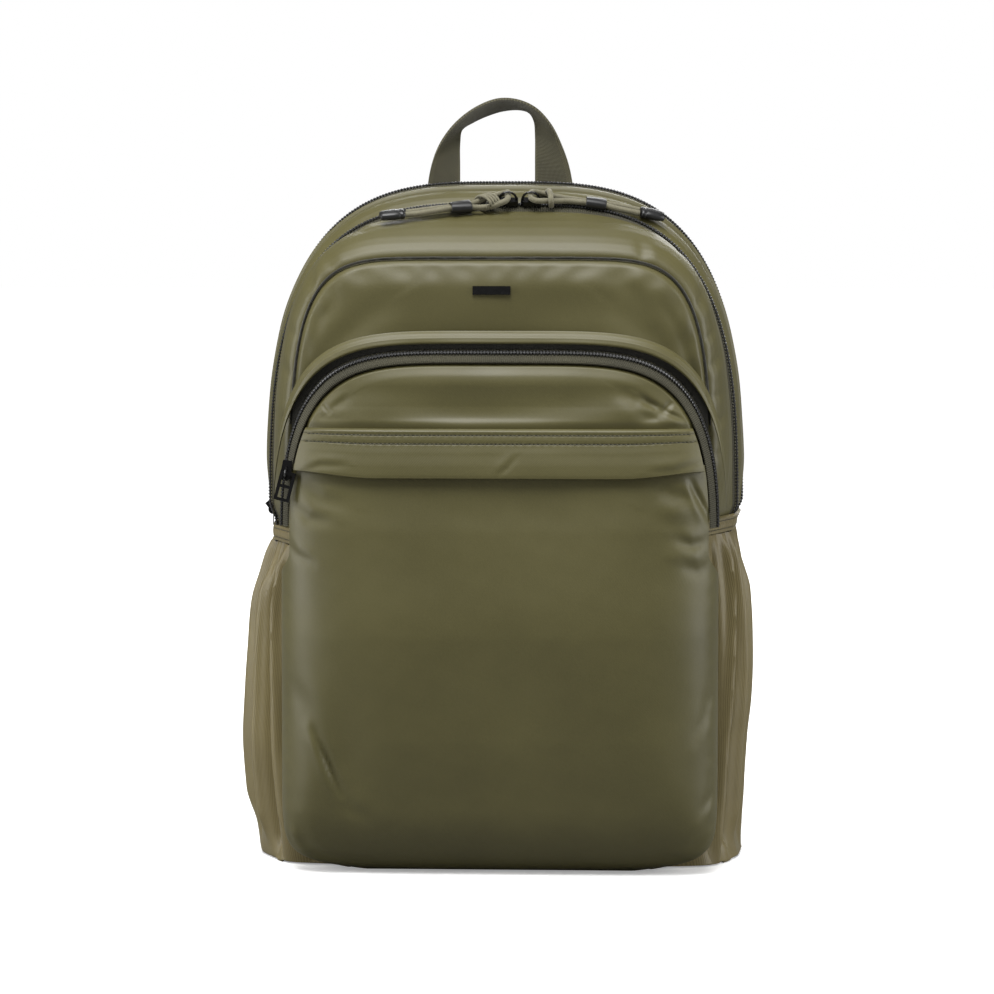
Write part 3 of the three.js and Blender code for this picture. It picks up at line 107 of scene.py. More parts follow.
def make_world():
    """White to the camera, and a dimmer light."""
    world = bpy.data.worlds.new("studio")
    world.use_nodes = True
    tree = world.node_tree
    background = tree.nodes["Background"]
    background.inputs["Color"].default_value = (1, 1, 1, 1)
    seen = tree.nodes.new("ShaderNodeLightPath")
    strength = tree.nodes.new("ShaderNodeMapRange")
    strength.inputs["To Min"].default_value = ROOM_LIGHT
    strength.inputs["To Max"].default_value = 1
    tree.links.new(seen.outputs["Is Camera Ray"], strength.inputs["Value"])
    tree.links.new(strength.outputs[0], background.inputs["Strength"])
    bpy.context.scene.world = world
    bpy.context.scene.view_settings.view_transform = "Standard"


def make_lights():
    sun = bpy.data.lights.new("overhead", "SUN")
    sun.energy = SUN_POWER
    sun.angle = SUN_ANGLE
    overhead = bpy.data.objects.new("overhead", sun)
    overhead.rotation_euler = SUN_TURN
    bpy.context.scene.collection.objects.link(overhead)
    for softbox in SOFTBOXES:
        area_light(*softbox)


def make_floor():
    """A white floor that glows to the camera and bounces little light."""
    mesh = bpy.data.meshes.new("floor")
    corners = [(x * FLOOR_REACH, y * FLOOR_REACH, 0) for x, y in ((-1, -1), (1, -1), (1, 1), (-1, 1))]
    mesh.from_pydata(corners, [], [(0, 1, 2, 3)])
    floor = bpy.data.objects.new("floor", mesh)
    material = bpy.data.materials.new("floor")
    material.use_nodes = True
    tree = material.node_tree
    shader = tree.nodes["Principled BSDF"]
    shader.inputs["Base Color"].default_value = FLOOR_WHITE
    shader.inputs["Roughness"].default_value = 0.7
    shader.inputs["Emission Color"].default_value = (1, 1, 1, 1)
    shader.inputs["Emission Strength"].default_value = FLOOR_GLOW
    dim = tree.nodes.new("ShaderNodeBsdfDiffuse")
    dim.inputs["Color"].default_value = FLOOR_BOUNCE
    seen = tree.nodes.new("ShaderNodeLightPath")
    either = tree.nodes.new("ShaderNodeMixShader")
    tree.links.new(seen.outputs["Is Camera Ray"], either.inputs[0])
    tree.links.new(dim.outputs[0], either.inputs[1])
    tree.links.new(shader.outputs[0], either.inputs[2])
    tree.links.new(either.outputs[0], tree.nodes["Material Output"].inputs["Surface"])
    mesh.materials.append(material)
    bpy.context.scene.collection.objects.link(floor)


make_camera()
make_world()
make_lights()
make_floor()

# Sizes shared with the solid model

GAP = 0.3
CLOTH = 2
THIN_CLOTH = 1.2
WEBBING = 1.8
HANDLE_WEB = 23
STRAP_WEB = 25
BAG_WIDTH = 311
BAG_HEIGHT = 439
MAIN_DEPTH = 109
BASE_EXTRA_DEPTH = 8
BACK_FACE_Y = 66
BACK_PAD = 12
SPRING_HEIGHT = 220
WAIST = 9
WAIST_BLEND = 14
WAIST_TOP = 219
ZIP_FOOT_HEIGHT = 206
ZIP_TAPE = 10
ZIP_THICKNESS = 1.6
FRONT_PANEL_PUFF = 10.5
POCKET_WIDTH = 279
POCKET_HEIGHT = 334
POCKET_ACROSS = 4.9
POCKET_UP = 2.4
POCKET_PUFF = 38
POCKET_TUCK = 4
POCKET_TAPE = 6
POCKET_ZIP_FOOT = 222
POCKET_SEAT = GAP + POCKET_TUCK / 2
LIP_OVERHANG = 5
LIP_WIDTH = 9
FLAP_TOP = 285
FLAP_DROP = 31
FLAP_THICKNESS = 2.6
FLAP_HANG = 2
POCKET_LOWER_TOP = 262
SIDE_POCKET_HEIGHT = 217
SIDE_POCKET_BULGE = 24
HEM_HEIGHT = 10
HEM_THICKNESS = 2.2
BACK_OUTER_Y = BACK_FACE_Y + GAP + BACK_PAD
BASE_ACROSS = 5
BASE_UP = 24

# Columns: depth, width, top, across, up
SECTIONS = [
    (0, 0.972, 0.99, 3.3, 3.0),
    (0.22, 1, 1, 3.3, 3.0),
    (0.578, 0.97, 0.967, 3.35, 3.1),
    (1, 0.864, 0.893, 7.2, 3.4),
]
REAR_ZIP = 0.22
MAIN_ZIP = 0.578

# Height as a share of the bag's, and puff
FRONT_PANEL_PUFF_BY_HEIGHT = [
    (0, 0), (0.55, 0.05), (0.68, 0.25), (0.75, 0.9), (0.8, 1), (0.85, 0.85), (0.9, 0.6),
]
POCKET_PUFF_BY_HEIGHT = [
    (0, 0.86), (0.1, 0.94), (0.2, 1), (0.35, 1), (0.5, 0.84), (0.58, 0.7), (0.65, 0.56), (0.71, 0.36),
    (0.77, 0.12),
]

# Small maths helpers


def smooth(value):
    value = np.clip(value, 0, 1)
    return value * value * (3 - 2 * value)


def power(value, exponent):
    return np.sign(value) * np.abs(value) ** exponent


def lerp(start, end, share):
    return start + (end - start) * share


def bell(value, centre, width):
    return np.exp(-(((value - centre) / width) ** 2))


def read_table(rows, key):
    """Value at each key, with rounded steps between the rows."""
    keys = np.array([row[0] for row in rows], float)
    values = np.array([row[1] for row in rows], float)
    key = np.clip(key, keys[0], keys[-1])
    k = np.clip(np.searchsorted(keys, key, side="right") - 1, 0, len(rows) - 2)
    share = (key - keys[k]) / (keys[k + 1] - keys[k])
    return lerp(values[k], values[k + 1], smooth(share) * 0.5 + share * 0.5)


def ripple(u, v, seed, pitch, count=7):
    """Soft random unevenness between about -1 and 1."""
    chance = np.random.default_rng(seed)
    total = 0
    for _ in range(count):
        angle = chance.uniform(0, math.pi)
        length = pitch * chance.uniform(0.7, 1.6)
        phase = chance.uniform(0, 2 * math.pi)
        total = total + np.sin((u * math.cos(angle) + v * math.sin(angle)) * 2 * math.pi / length + phase)
    return total / count


class Outline:
    """Two superellipse halves that meet at the spring height, from the bottom centre up the left side."""

    STEPS = 2880

    def __init__(self, half_width, top, across, up, bottom=-1.5, spring=SPRING_HEIGHT, waist=0):
        angle = np.linspace(-math.pi, math.pi, self.STEPS + 1)
        upper = np.cos(angle) >= 0
        rise = np.where(upper, top - spring, spring - bottom)
        self.x = half_width * power(np.sin(angle), 2 / np.where(upper, across, BASE_ACROSS))
        self.z = spring + rise * power(np.cos(angle), 2 / np.where(upper, up, BASE_UP))
        lengths = np.concatenate([[0], np.cumsum(np.hypot(np.diff(self.x), np.diff(self.z)))])
        self.total = lengths[-1]
        self.fractions = lengths / self.total
        self.half_width = half_width
        self.top = top
        self.bottom = bottom
        self.spring = spring
        self.across = across
        self.up = up
        self.waist = waist

    def at(self, fraction):
        x = np.interp(fraction, self.fractions, self.x)
        z = np.interp(fraction, self.fractions, self.z)
        drawn_in = self.waist * smooth((WAIST_TOP + WAIST_BLEND - z) / WAIST_BLEND)
        return x - drawn_in * x / self.half_width, np.maximum(z, 0)

    def at_height(self, z):
        left = slice(0, self.STEPS // 2 + 1)
        return np.interp(z, self.z[left], self.fractions[left])

    def over(self, foot_height, count):
        """Places from a height on the left, over the top, to that height on the right."""
        foot = self.at_height(foot_height)
        return self.at(np.linspace(foot, 1 - foot, count))

    def at_angle(self, degrees):
        return self.fractions[round((degrees + 180) / 360 * self.STEPS)]

    def half_at(self, z):
        return -self.at(self.at_height(z))[0]

    def radius(self, x, z):
        upper = z >= self.spring
        across = np.where(upper, self.across, BASE_ACROSS)
        up = np.where(upper, self.up, BASE_UP)
        wide = np.abs(x) / self.half_width
        tall = np.abs(z - self.spring) / np.where(upper, self.top - self.spring, self.spring - self.bottom)
        low = np.zeros(np.shape(wide + tall)) + 1e-4
        high = np.full_like(low, 2)
        for _ in range(24):
            r = (low + high) / 2
            outside = (wide / r) ** across + (tall / r) ** up > 1
            low = np.where(outside, r, low)
            high = np.where(outside, high, r)
        return high


def depth_to_y(depth, z):
    return BACK_FACE_Y - depth * (MAIN_DEPTH + BASE_EXTRA_DEPTH * (1 - np.clip(z / BAG_HEIGHT, 0, 1)))


outlines = {}


def body_outline(depth, snug=0.0):
    """Outline at a share of the depth, with the waist filled in by snug behind the side pockets' hems."""
    key = (round(float(depth), 5), snug)
    if key not in outlines:
        depths, *columns = zip(*SECTIONS)
        width, top, across, up = (np.interp(key[0], depths, column) for column in columns)
        belly = math.sin(math.pi * min(max((0.97 - key[0]) / 0.94, 0), 1)) ** 0.7
        waist = WAIST - snug * belly
        outlines[key] = Outline(BAG_WIDTH / 2 * width, BAG_HEIGHT * top, across, up, waist=waist)
    return outlines[key]


front_outline = body_outline(1)
pocket_outline = Outline(POCKET_WIDTH / 2, POCKET_HEIGHT, POCKET_ACROSS, POCKET_UP, bottom=0.6)


def pocket_arch(inset):
    half_width = POCKET_WIDTH / 2 - inset
    top = POCKET_HEIGHT - inset * 1.35
    return Outline(half_width, top, POCKET_ACROSS, POCKET_UP, bottom=0.6 + inset)


def front_panel_y(x, z):
    r = np.minimum(front_outline.radius(x, z), 1)
    puff = FRONT_PANEL_PUFF * read_table(FRONT_PANEL_PUFF_BY_HEIGHT, z / BAG_HEIGHT)
    return depth_to_y(1, z) - GAP - CLOTH - puff * np.sqrt(np.maximum(1 - r**7, 0))


def pocket_y(x, z):
    r = np.minimum(pocket_outline.radius(x, z), 1)
    puff = POCKET_PUFF * read_table(POCKET_PUFF_BY_HEIGHT, z / BAG_HEIGHT)
    return front_panel_y(x, z) - POCKET_SEAT - puff * np.sqrt(np.maximum(1 - r**6, 0))


# Folds. A place is (x, z) on a front panel, or (along, across) on a strip.


def nearest(x, z, line):
    """Distance from a line of places, share along it and the side it is on."""
    line = np.array(line, float)
    lengths = np.hypot(*np.diff(line, axis=0).T)
    best = np.full(np.shape(x), 1e9)
    share = np.zeros(np.shape(x))
    side = np.zeros(np.shape(x))
    walked = 0
    for (x0, z0), (x1, z1), length in zip(line[:-1], line[1:], lengths):
        t = np.clip(((x - x0) * (x1 - x0) + (z - z0) * (z1 - z0)) / length**2, 0, 1)
        distance = np.hypot(x - lerp(x0, x1, t), z - lerp(z0, z1, t))
        cross = (x1 - x0) * (z - z0) - (z1 - z0) * (x - x0)
        closer = distance < best
        best = np.where(closer, distance, best)
        share = np.where(closer, (walked + t * length) / lengths.sum(), share)
        side = np.where(closer, np.sign(cross), side)
        walked += length
    return best, share, side


def crease(x, z, line, width, depth, ridge=0.0):
    """A groove along a line that fades at its ends, with a ridge beside it: left of the line if positive."""
    distance, share, side = nearest(x, z, line)
    fade = np.sin(math.pi * np.clip(lerp(0.06, 0.94, share), 0, 1)) ** 0.8
    signed = distance * side * (1 if ridge >= 0 else -1)
    groove = -depth * bell(distance, 0, width)
    beside = abs(ridge) * bell(signed, 1.7 * width, 1.3 * width)
    return fade * (groove + beside)


def creases(x, z, rows):
    return sum(crease(x, z, *row) for row in rows)


def swells(x, z, rows):
    """Broad raised or sunken places: columns x, z, half width, half height, rise."""
    return sum(rise * bell(x, cx, rx) * bell(z, cz, rz) for cx, cz, rx, rz, rise in rows)


# Grids of points to meshes


def grid_normals(grid, inside):
    along = np.gradient(grid, axis=1)
    across = np.gradient(grid, axis=0)
    normals = np.cross(along, across)
    normals /= np.maximum(np.linalg.norm(normals, axis=2, keepdims=True), 1e-9)
    if np.sum(normals * (grid - np.array(inside, float))) < 0:
        normals = -normals
    return normals


def link_mesh(name, points, faces, material, uv=None, crisp=40):
    mesh = bpy.data.meshes.new(name)
    mesh.from_pydata((np.asarray(points) * MM).tolist(), [], faces)
    mesh.polygons.foreach_set("use_smooth", np.ones(len(mesh.polygons), bool))
    mesh.set_sharp_from_angle(angle=math.radians(crisp))
    if uv is not None:
        corners = np.zeros(len(mesh.loops), int)
        mesh.loops.foreach_get("vertex_index", corners)
        layer = mesh.uv_layers.new(name="weave")
        layer.data.foreach_set("uv", (np.asarray(uv)[corners] * MM).ravel())
    mesh.materials.append(material)
    piece = bpy.data.objects.new(name, mesh)
    bpy.context.scene.collection.objects.link(piece)
    return piece


def grid_uv(grid):
    """Distance along and across the grid, so that a weave keeps its scale."""
    along = np.linalg.norm(np.diff(grid, axis=1), axis=2).mean(axis=0)
    across = np.linalg.norm(np.diff(grid, axis=0), axis=2).mean(axis=1)
    u = np.concatenate([[0], np.cumsum(along)])
    v = np.concatenate([[0], np.cumsum(across)])
    return np.stack(np.meshgrid(u, v), axis=2)


def slab_faces(rows, columns):
    index = np.arange(rows * columns).reshape(rows, columns)
    a, b, c, d = index[:-1, :-1], index[:-1, 1:], index[1:, 1:], index[1:, :-1]
    front = np.stack([a, b, c, d], axis=2).reshape(-1, 4)
    far = rows * columns
    back = front[:, ::-1] + far
    loop = np.concatenate([index[0, :], index[1:, -1], index[-1, -2::-1], index[-2:0:-1, 0]])
    following = np.roll(loop, -1)
    rim = np.stack([following, loop, loop + far, following + far], axis=1)
    return np.concatenate([front, back, rim])


def slab(name, outer, inner, material, crisp=40):
    rows, columns = outer.shape[:2]
    points = np.concatenate([outer.reshape(-1, 3), inner.reshape(-1, 3)])
    faces = slab_faces(rows, columns)
    a, b, c, d = (points[faces[:, k]] for k in range(4))
    volume = np.sum(a * np.cross(b, c)) + np.sum(a * np.cross(c, d))
    if volume < 0:
        faces = faces[:, ::-1]
    uv = grid_uv(outer).reshape(-1, 2)
    return link_mesh(name, points, faces.tolist(), material, np.concatenate([uv, uv]), crisp)


def wall(name, grid, thickness, material, inside, crisp=40):
    return slab(name, grid, grid - grid_normals(grid, inside) * thickness, material, crisp)


def front_slab(name, x, z, y, thickness, material):
    outer = np.stack([x, y, z], axis=2)
    inner = outer + np.array([0, thickness, 0])
    return slab(name, outer, inner, material)


def fill_sides(bottom, top, left, right, rows, columns):
    """A grid that fills four sides, closer together near its edges. Each side gives (x, z) at a share."""

    def ease(share):
        return lerp(share, (1 - np.cos(math.pi * share)) / 2, 0.6)

    v = ease(np.linspace(0, 1, rows))[:, None]
    u = ease(np.linspace(0, 1, columns))[None, :]
    filled = []
    for k in range(2):
        low, high = bottom(u)[k], top(u)[k]
        west, east = left(v)[k], right(v)[k]
        corners = low[0, 0] * (1 - u) * (1 - v) + low[0, -1] * u * (1 - v)
        corners = corners + high[0, 0] * (1 - u) * v + high[0, -1] * u * v
        filled.append(low * (1 - v) + high * v + west * (1 - u) + east * u - corners)
    return filled


def run_along(at, start, end):
    """One side of a grid, between two fractions of an outline. It may pass the bottom centre."""

    def side(share):
        fraction = lerp(start, end, share)
        return at(np.where(fraction < 0, fraction + 1, fraction))

    return side


def outline_sides(outline, top_angle, base_angle):
    top = outline.at_angle(-top_angle)
    base = outline.at_angle(-base_angle)
    return (
        run_along(outline.at, base, -base),
        run_along(outline.at, top, 1 - top),
        run_along(outline.at, base, top),
        run_along(outline.at, 1 - base, 1 - top),
    )


def dress(piece, slot_name, *nodes):
    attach(piece, "bag")
    if nodes:
        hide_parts(*nodes)
    return piece


# Materials


class Nodes:
    """A short way to build one material's node tree."""

    def __init__(self, name):
        self.material = bpy.data.materials.new(name)
        self.material.use_nodes = True
        self.tree = self.material.node_tree
        self.shader = self.tree.nodes["Principled BSDF"]

    def add(self, kind, settings=None, **sockets):
        node = self.tree.nodes.new(kind)
        for key, value in (settings or {}).items():
            setattr(node, key, value)
        for key, value in sockets.items():
            self.put(node.inputs[key.replace("_", " ")], value)
        return node

    def put(self, socket, value):
        if isinstance(value, bpy.types.NodeSocket):
            self.tree.links.new(value, socket)
        else:
            socket.default_value = value

    def maths(self, operation, first, second=0.0):
        node = self.tree.nodes.new("ShaderNodeMath")
        node.operation = operation
        self.put(node.inputs[0], first)
        self.put(node.inputs[1], second)
        return node.outputs[0]

    def mix(self, factor, first, second):
        node = self.tree.nodes.new("ShaderNodeMix")
        node.data_type = "RGBA"
        self.put(node.inputs[0], factor)
        self.put(node.inputs[6], first)
        self.put(node.inputs[7], second)
        return node.outputs[2]

    def blend(self, first, first_share, second, second_share):
        """The sum of two values, each with its own weight."""
        first = self.maths("MULTIPLY", first, first_share)
        return self.maths("ADD", first, self.maths("MULTIPLY", second, second_share))

    def scaled(self, value, factor, offset):
        return self.maths("ADD", self.maths("MULTIPLY", value, factor), offset)

    def place(self, coordinates, angle=0.0):
        source = self.add("ShaderNodeTexCoord")
        mapping = self.add("ShaderNodeMapping")
        self.put(mapping.inputs["Vector"], source.outputs[coordinates])
        mapping.inputs["Rotation"].default_value = (0, 0, angle)
        return mapping.outputs[0]

    def noise(self, vector, scale, detail):
        settings = {"Scale": scale, "Detail": detail, "Roughness": 0.5}
        return self.add("ShaderNodeTexNoise", Vector=vector, **settings).outputs["Fac"]

    def wave(self, vector, scale, distortion=0.0, direction="X"):
        settings = {"wave_type": "BANDS", "bands_direction": direction}
        sockets = {"Scale": scale, "Distortion": distortion, "Detail": 0.0}
        return self.add("ShaderNodeTexWave", settings, Vector=vector, **sockets).outputs["Fac"]

    def bump(self, height, strength, distance):
        node = self.add("ShaderNodeBump", Height=height, Strength=strength, Distance=distance)
        return node.outputs[0]

    def finish(self, colour, roughness, normal, **numbers):
        self.put(self.shader.inputs["Base Color"], colour)
        self.put(self.shader.inputs["Roughness"], roughness)
        self.put(self.shader.inputs["Normal"], normal)
        for key, value in numbers.items():
            self.shader.inputs[key.replace("_", " ")].default_value = value
        return self.material


# A wave texture repeats every pi / 10 units at scale 1
WAVE_UNIT = math.pi / 10


def bands_per(pitch_mm):
    return WAVE_UNIT / (pitch_mm * MM)


def twill_nylon(name, deep, lit, roughness, sheen):
    """Satin nylon: a fine diagonal rib, thread-to-thread unevenness and a soft mottled shade."""
    n = Nodes(name)
    flat = n.place("UV")
    slanted = n.place("UV", math.radians(34))
    rib = n.wave(slanted, bands_per(0.85), 0.6)
    thread = n.wave(flat, bands_per(0.55), 0.3)
    cloud = n.noise(n.place("Object"), 16, 2.0)
    speck = n.noise(n.place("Object"), 900, 2.0)
    weave = n.maths("MULTIPLY", n.maths("ADD", rib, n.maths("MULTIPLY", thread, 0.35)), 0.74)
    shade = n.blend(cloud, 0.5, weave, 0.22)
    shade = n.maths("ADD", shade, n.maths("MULTIPLY", speck, 0.28))
    colour = n.mix(shade, (*deep, 1), (*lit, 1))
    rough = n.scaled(cloud, 0.08, roughness - 0.04)
    normal = n.bump(weave, 0.12, 0.0004)
    numbers = {"Sheen_Weight": sheen, "Sheen_Roughness": 0.4, "Specular_IOR_Level": 0.5}
    return n.finish(colour, rough, normal, **numbers)


def knit(name, deep, lit, pitch, strength=0.35, roughness=0.8):
    """Stretch knit or zip tape: vertical wales crossed by fine courses."""
    n = Nodes(name)
    flat = n.place("UV")
    wale = n.wave(flat, bands_per(pitch), 0.5)
    course = n.wave(flat, bands_per(pitch * 0.7), 0.5, "Y")
    cloud = n.noise(n.place("Object"), 22, 3.0)
    weave = n.maths("MULTIPLY", wale, n.scaled(course, 0.5, 0.5))
    shade = n.blend(weave, 0.5, cloud, 0.5)
    colour = n.mix(shade, (*deep, 1), (*lit, 1))
    normal = n.bump(weave, strength, 0.0005)
    return n.finish(colour, roughness, normal, Sheen_Weight=0.05, Sheen_Roughness=0.5)


def woven_webbing(name, deep, lit, width):
    """Webbing: a plain tight weave in the middle and a twilled border along both edges."""
    n = Nodes(name)
    flat = n.place("UV")
    split = n.add("ShaderNodeSeparateXYZ", Vector=flat)
    middle = n.maths("ABSOLUTE", n.maths("SUBTRACT", split.outputs[1], width * MM / 2))
    border = n.maths("GREATER_THAN", middle, (width / 2 - 3.2) * MM)
    ribs = n.wave(n.place("UV", math.radians(50)), bands_per(1.15), 0.4)
    warp = n.wave(flat, bands_per(0.9), 0.5)
    weft = n.wave(flat, bands_per(0.75), 0.5, "Y")
    plain = n.maths("MULTIPLY", warp, weft)
    pick = n.add("ShaderNodeMix", {"data_type": "FLOAT"})
    n.put(pick.inputs[0], border)
    n.put(pick.inputs[2], plain)
    n.put(pick.inputs[3], ribs)
    weave = pick.outputs[0]
    cloud = n.noise(n.place("Object"), 60, 3.0)
    shade = n.blend(weave, 0.6, cloud, 0.4)
    colour = n.mix(shade, (*deep, 1), (*lit, 1))
    return n.finish(colour, 0.72, n.bump(weave, 0.5, 0.0006), Sheen_Weight=0.2, Sheen_Roughness=0.5)


def braid(name, deep, lit):
    n = Nodes(name)
    fleck = n.noise(n.place("Object"), 1100, 3.0)
    fine = n.noise(n.place("Object"), 260, 2.0)
    shade = n.blend(fleck, 0.6, fine, 0.4)
    colour = n.mix(shade, (*deep, 1), (*lit, 1))
    return n.finish(colour, 0.75, n.bump(fleck, 0.4, 0.0003), Sheen_Weight=0.15)


def black_finish(name, shade, roughness, grain, metallic=0.0):
    """Black metal, plastic or rubber, slightly uneven and scuffed."""
    n = Nodes(name)
    scuff = n.noise(n.place("Object"), 420, 4.0)
    deep, lit = ((shade * share,) * 3 for share in (0.7, 1.5))
    colour = n.mix(scuff, (*deep, 1), (*lit, 1))
    rough = n.scaled(scuff, 0.16, roughness - 0.08)
    normal = n.bump(scuff, grain, 0.0002)
    return n.finish(colour, rough, normal, Metallic=metallic, Specular_IOR_Level=0.5)


NYLON = twill_nylon("nylon_twill", (0.050, 0.044, 0.0125), (0.112, 0.100, 0.033), 0.48, 0.02)
NYLON_DARK = twill_nylon("nylon_matt", (0.040, 0.035, 0.011), (0.080, 0.072, 0.026), 0.62, 0.02)
STRETCH = knit("stretch_knit", (0.088, 0.068, 0.024), (0.240, 0.196, 0.082), 0.9, 0.2, 0.4)
TAPE = knit("zip_tape_knit", (0.010, 0.009, 0.004), (0.080, 0.073, 0.036), 1.3, 0.9)
# Near black: painted shade on the zip's hidden half under the storm flap.
TAPE_SHADOW = knit("zip_tape_painted_shade", (0.006, 0.006, 0.004), (0.022, 0.020, 0.012), 1.1, 0.4)
WEB = woven_webbing("webbing_weave", (0.018, 0.016, 0.006), (0.115, 0.104, 0.050), HANDLE_WEB)
STRAP_WEBBING = woven_webbing("strap_webbing_weave", (0.018, 0.016, 0.006), (0.115, 0.104, 0.050), STRAP_WEB)
CORD_BRAID = braid("cord_braid", (0.050, 0.045, 0.024), (0.250, 0.232, 0.150))
THREAD = braid("sewing_thread", (0.026, 0.023, 0.010), (0.110, 0.100, 0.048))
# Near black: painted shade for the grooves along stitch rows and seams.
STITCH_GROOVE_SHADE = braid("stitch_groove_shade", (0.006, 0.006, 0.003), (0.020, 0.018, 0.008))
COIL = black_finish("zip_coil", 0.016, 0.36, 0.2)
BLACK_METAL = black_finish("black_metal", 0.008, 0.24, 0.08, 0.4)
BLACK_PLASTIC = black_finish("black_plastic", 0.010, 0.38, 0.15)
BLACK_RUBBER = black_finish("black_rubber", 0.010, 0.45, 0.3)

# Tubes, stitches and coils


def centripetal(points, samples):
    """Centripetal spline through the points, evenly sampled between each pair."""
    p = np.asarray(points, float)
    p = np.concatenate([[2 * p[0] - p[1]], p, [2 * p[-1] - p[-2]]])
    out = []
    for k in range(1, len(p) - 2):
        p0, p1, p2, p3 = p[k - 1 : k + 3]
        d0, d1, d2 = (np.linalg.norm(b - a) ** 0.5 for a, b in ((p0, p1), (p1, p2), (p2, p3)))
        t1 = ((p1 - p0) / d0 - (p2 - p0) / (d0 + d1) + (p2 - p1) / d1) * d1
        t2 = ((p2 - p1) / d1 - (p3 - p1) / (d1 + d2) + (p3 - p2) / d2) * d1
        for t in np.linspace(0, 1, samples, endpoint=False):
            cubic = (2 * p1 - 2 * p2 + t1 + t2) * t**3 + (-3 * p1 + 3 * p2 - 2 * t1 - t2) * t**2
            out.append(cubic + t1 * t + p1)
    out.append(p[-2])
    return np.array(out)


def run_lengths(points):
    """Distance along a path at each of its points."""
    return np.concatenate([[0], np.cumsum(np.linalg.norm(np.diff(points, axis=0), axis=1))])


def between(at, keys, rows):
    """Rows of three numbers, read between their keys."""
    return np.stack([np.interp(at, keys, rows[:, k]) for k in range(3)], axis=1)


def resample(points, step):
    lengths = run_lengths(points)
    count = max(int(round(lengths[-1] / step)), 2)
    at = np.linspace(0, lengths[-1], count + 1)
    return between(at, lengths, points), at


def unit(vectors):
    return vectors / np.maximum(np.linalg.norm(vectors, axis=-1, keepdims=True), 1e-9)


def carried_frames(path):
    """Normal and binormal along a path, without twist."""
    tangents = unit(np.gradient(path, axis=0))
    side = np.array([0, 0, 1.0]) if abs(tangents[0][2]) < 0.9 else np.array([1.0, 0, 0])
    normals = []
    for tangent in tangents:
        side = side - tangent * np.dot(side, tangent)
        side = side / np.linalg.norm(side)
        normals.append(side)
    normals = np.array(normals)
    return normals, np.cross(tangents, normals)


def ring_faces(rings, sides, closed=False):
    index = np.arange(rings * sides).reshape(rings, sides)
    if closed:
        index = np.concatenate([index, index[:1]])
    after = np.roll(index, -1, axis=1)
    faces = np.stack([index[:-1], after[:-1], after[1:], index[1:]], axis=2).reshape(-1, 4).tolist()
    if not closed:
        faces.append(index[0, ::-1].tolist())
        faces.append(index[-1].tolist())
    return faces


def tube(name, path, radii, material):
    """A tube round a path. Its radii are an array of rings by sides."""
    normals, binormals = carried_frames(path)
    sides = radii.shape[1]
    angle = np.linspace(0, 2 * math.pi, sides, endpoint=False)
    ring = normals[:, None] * np.cos(angle)[:, None] + binormals[:, None] * np.sin(angle)[:, None]
    points = path[:, None] + ring * radii[:, :, None]
    return link_mesh(name, points.reshape(-1, 3), ring_faces(len(path), sides), material, crisp=60)


def braided_cord(name, path, diameter, material):
    """Two families of strands that cross round the cord."""
    path, at = resample(path, 0.45)
    angle = np.linspace(0, 2 * math.pi, 20, endpoint=False)
    turn = at[:, None] * 2 * math.pi / 9.5
    one = np.abs(np.sin(2.5 * (angle - turn)))
    other = np.abs(np.sin(2.5 * (angle + turn)))
    radii = diameter / 2 * (0.9 + 0.1 * np.maximum(one, other))
    return tube(name, path, radii, material), path


COIL_PITCH = 2.1
COIL_SIDES = 10


def coil_line(name, line, out, radius):
    """Zip coil: a low tube with a tooth every pitch."""
    path, at = resample(line, COIL_PITCH / 4)
    tooth = 0.72 + 0.28 * power(np.sin(at * 2 * math.pi / COIL_PITCH + 0.4), 0.4)
    tangents = unit(np.gradient(path, axis=0))
    up = unit(between(at, run_lengths(line), out))
    side = unit(np.cross(tangents, up))
    angle = np.linspace(0, 2 * math.pi, COIL_SIDES, endpoint=False)
    wide = side[:, None] * np.cos(angle)[:, None] * radius * 1.35
    tall = up[:, None] * np.sin(angle)[:, None] * radius * 0.8
    points = path[:, None] + (wide + tall) * tooth[:, None, None]
    return link_mesh(name, points.reshape(-1, 3), ring_faces(len(path), COIL_SIDES), COIL, crisp=30)


STITCH_RINGS = [(-0.5, 0.15), (-0.36, 0.8), (0, 1.0), (0.36, 0.8), (0.5, 0.15)]
STITCH_SIDES = 6


def stitches(name, rows, pitch, length, width, slot_name="nylon"):
    """Rows of stitches. Each row is a line of points and the outward direction at each."""
    points = []
    faces = []
    angle = np.linspace(0, 2 * math.pi, STITCH_SIDES, endpoint=False)
    shape = [(along, np.cos(angle) * r, np.sin(angle) * r) for along, r in STITCH_RINGS]
    template = ring_faces(len(shape), STITCH_SIDES)
    for line, out in rows:
        path, at = resample(line, pitch)
        up = unit(between(at, run_lengths(line), out))
        tangents = unit(np.gradient(path, axis=0))
        side = unit(np.cross(tangents, up))
        for place, tangent, across, above in zip(path, tangents, side, up):
            base = len(points) * STITCH_SIDES
            for along, wide, tall in shape:
                ring = place + tangent * along * length + across * wide[:, None] * width / 2
                points.append(ring + above * tall[:, None] * width / 2)
            faces.extend([[base + corner for corner in face] for face in template])
    piece = link_mesh(name, np.concatenate(points), faces, THREAD, crisp=80)
    dress(piece, slot_name)
    for k, (line, out) in enumerate(rows):
        # Under each row, a near black tube: painted shade in the stitch groove.
        path, _ = resample(line - out * 0.12, 1.6)
        groove_shade = tube(f"{name}_bed_{k + 1}", path, np.full((len(path), 6), width * 0.42), STITCH_GROOVE_SHADE)
        dress(groove_shade, slot_name)


# Cord pulls. Each cord is one length, doubled through its slider's bail.

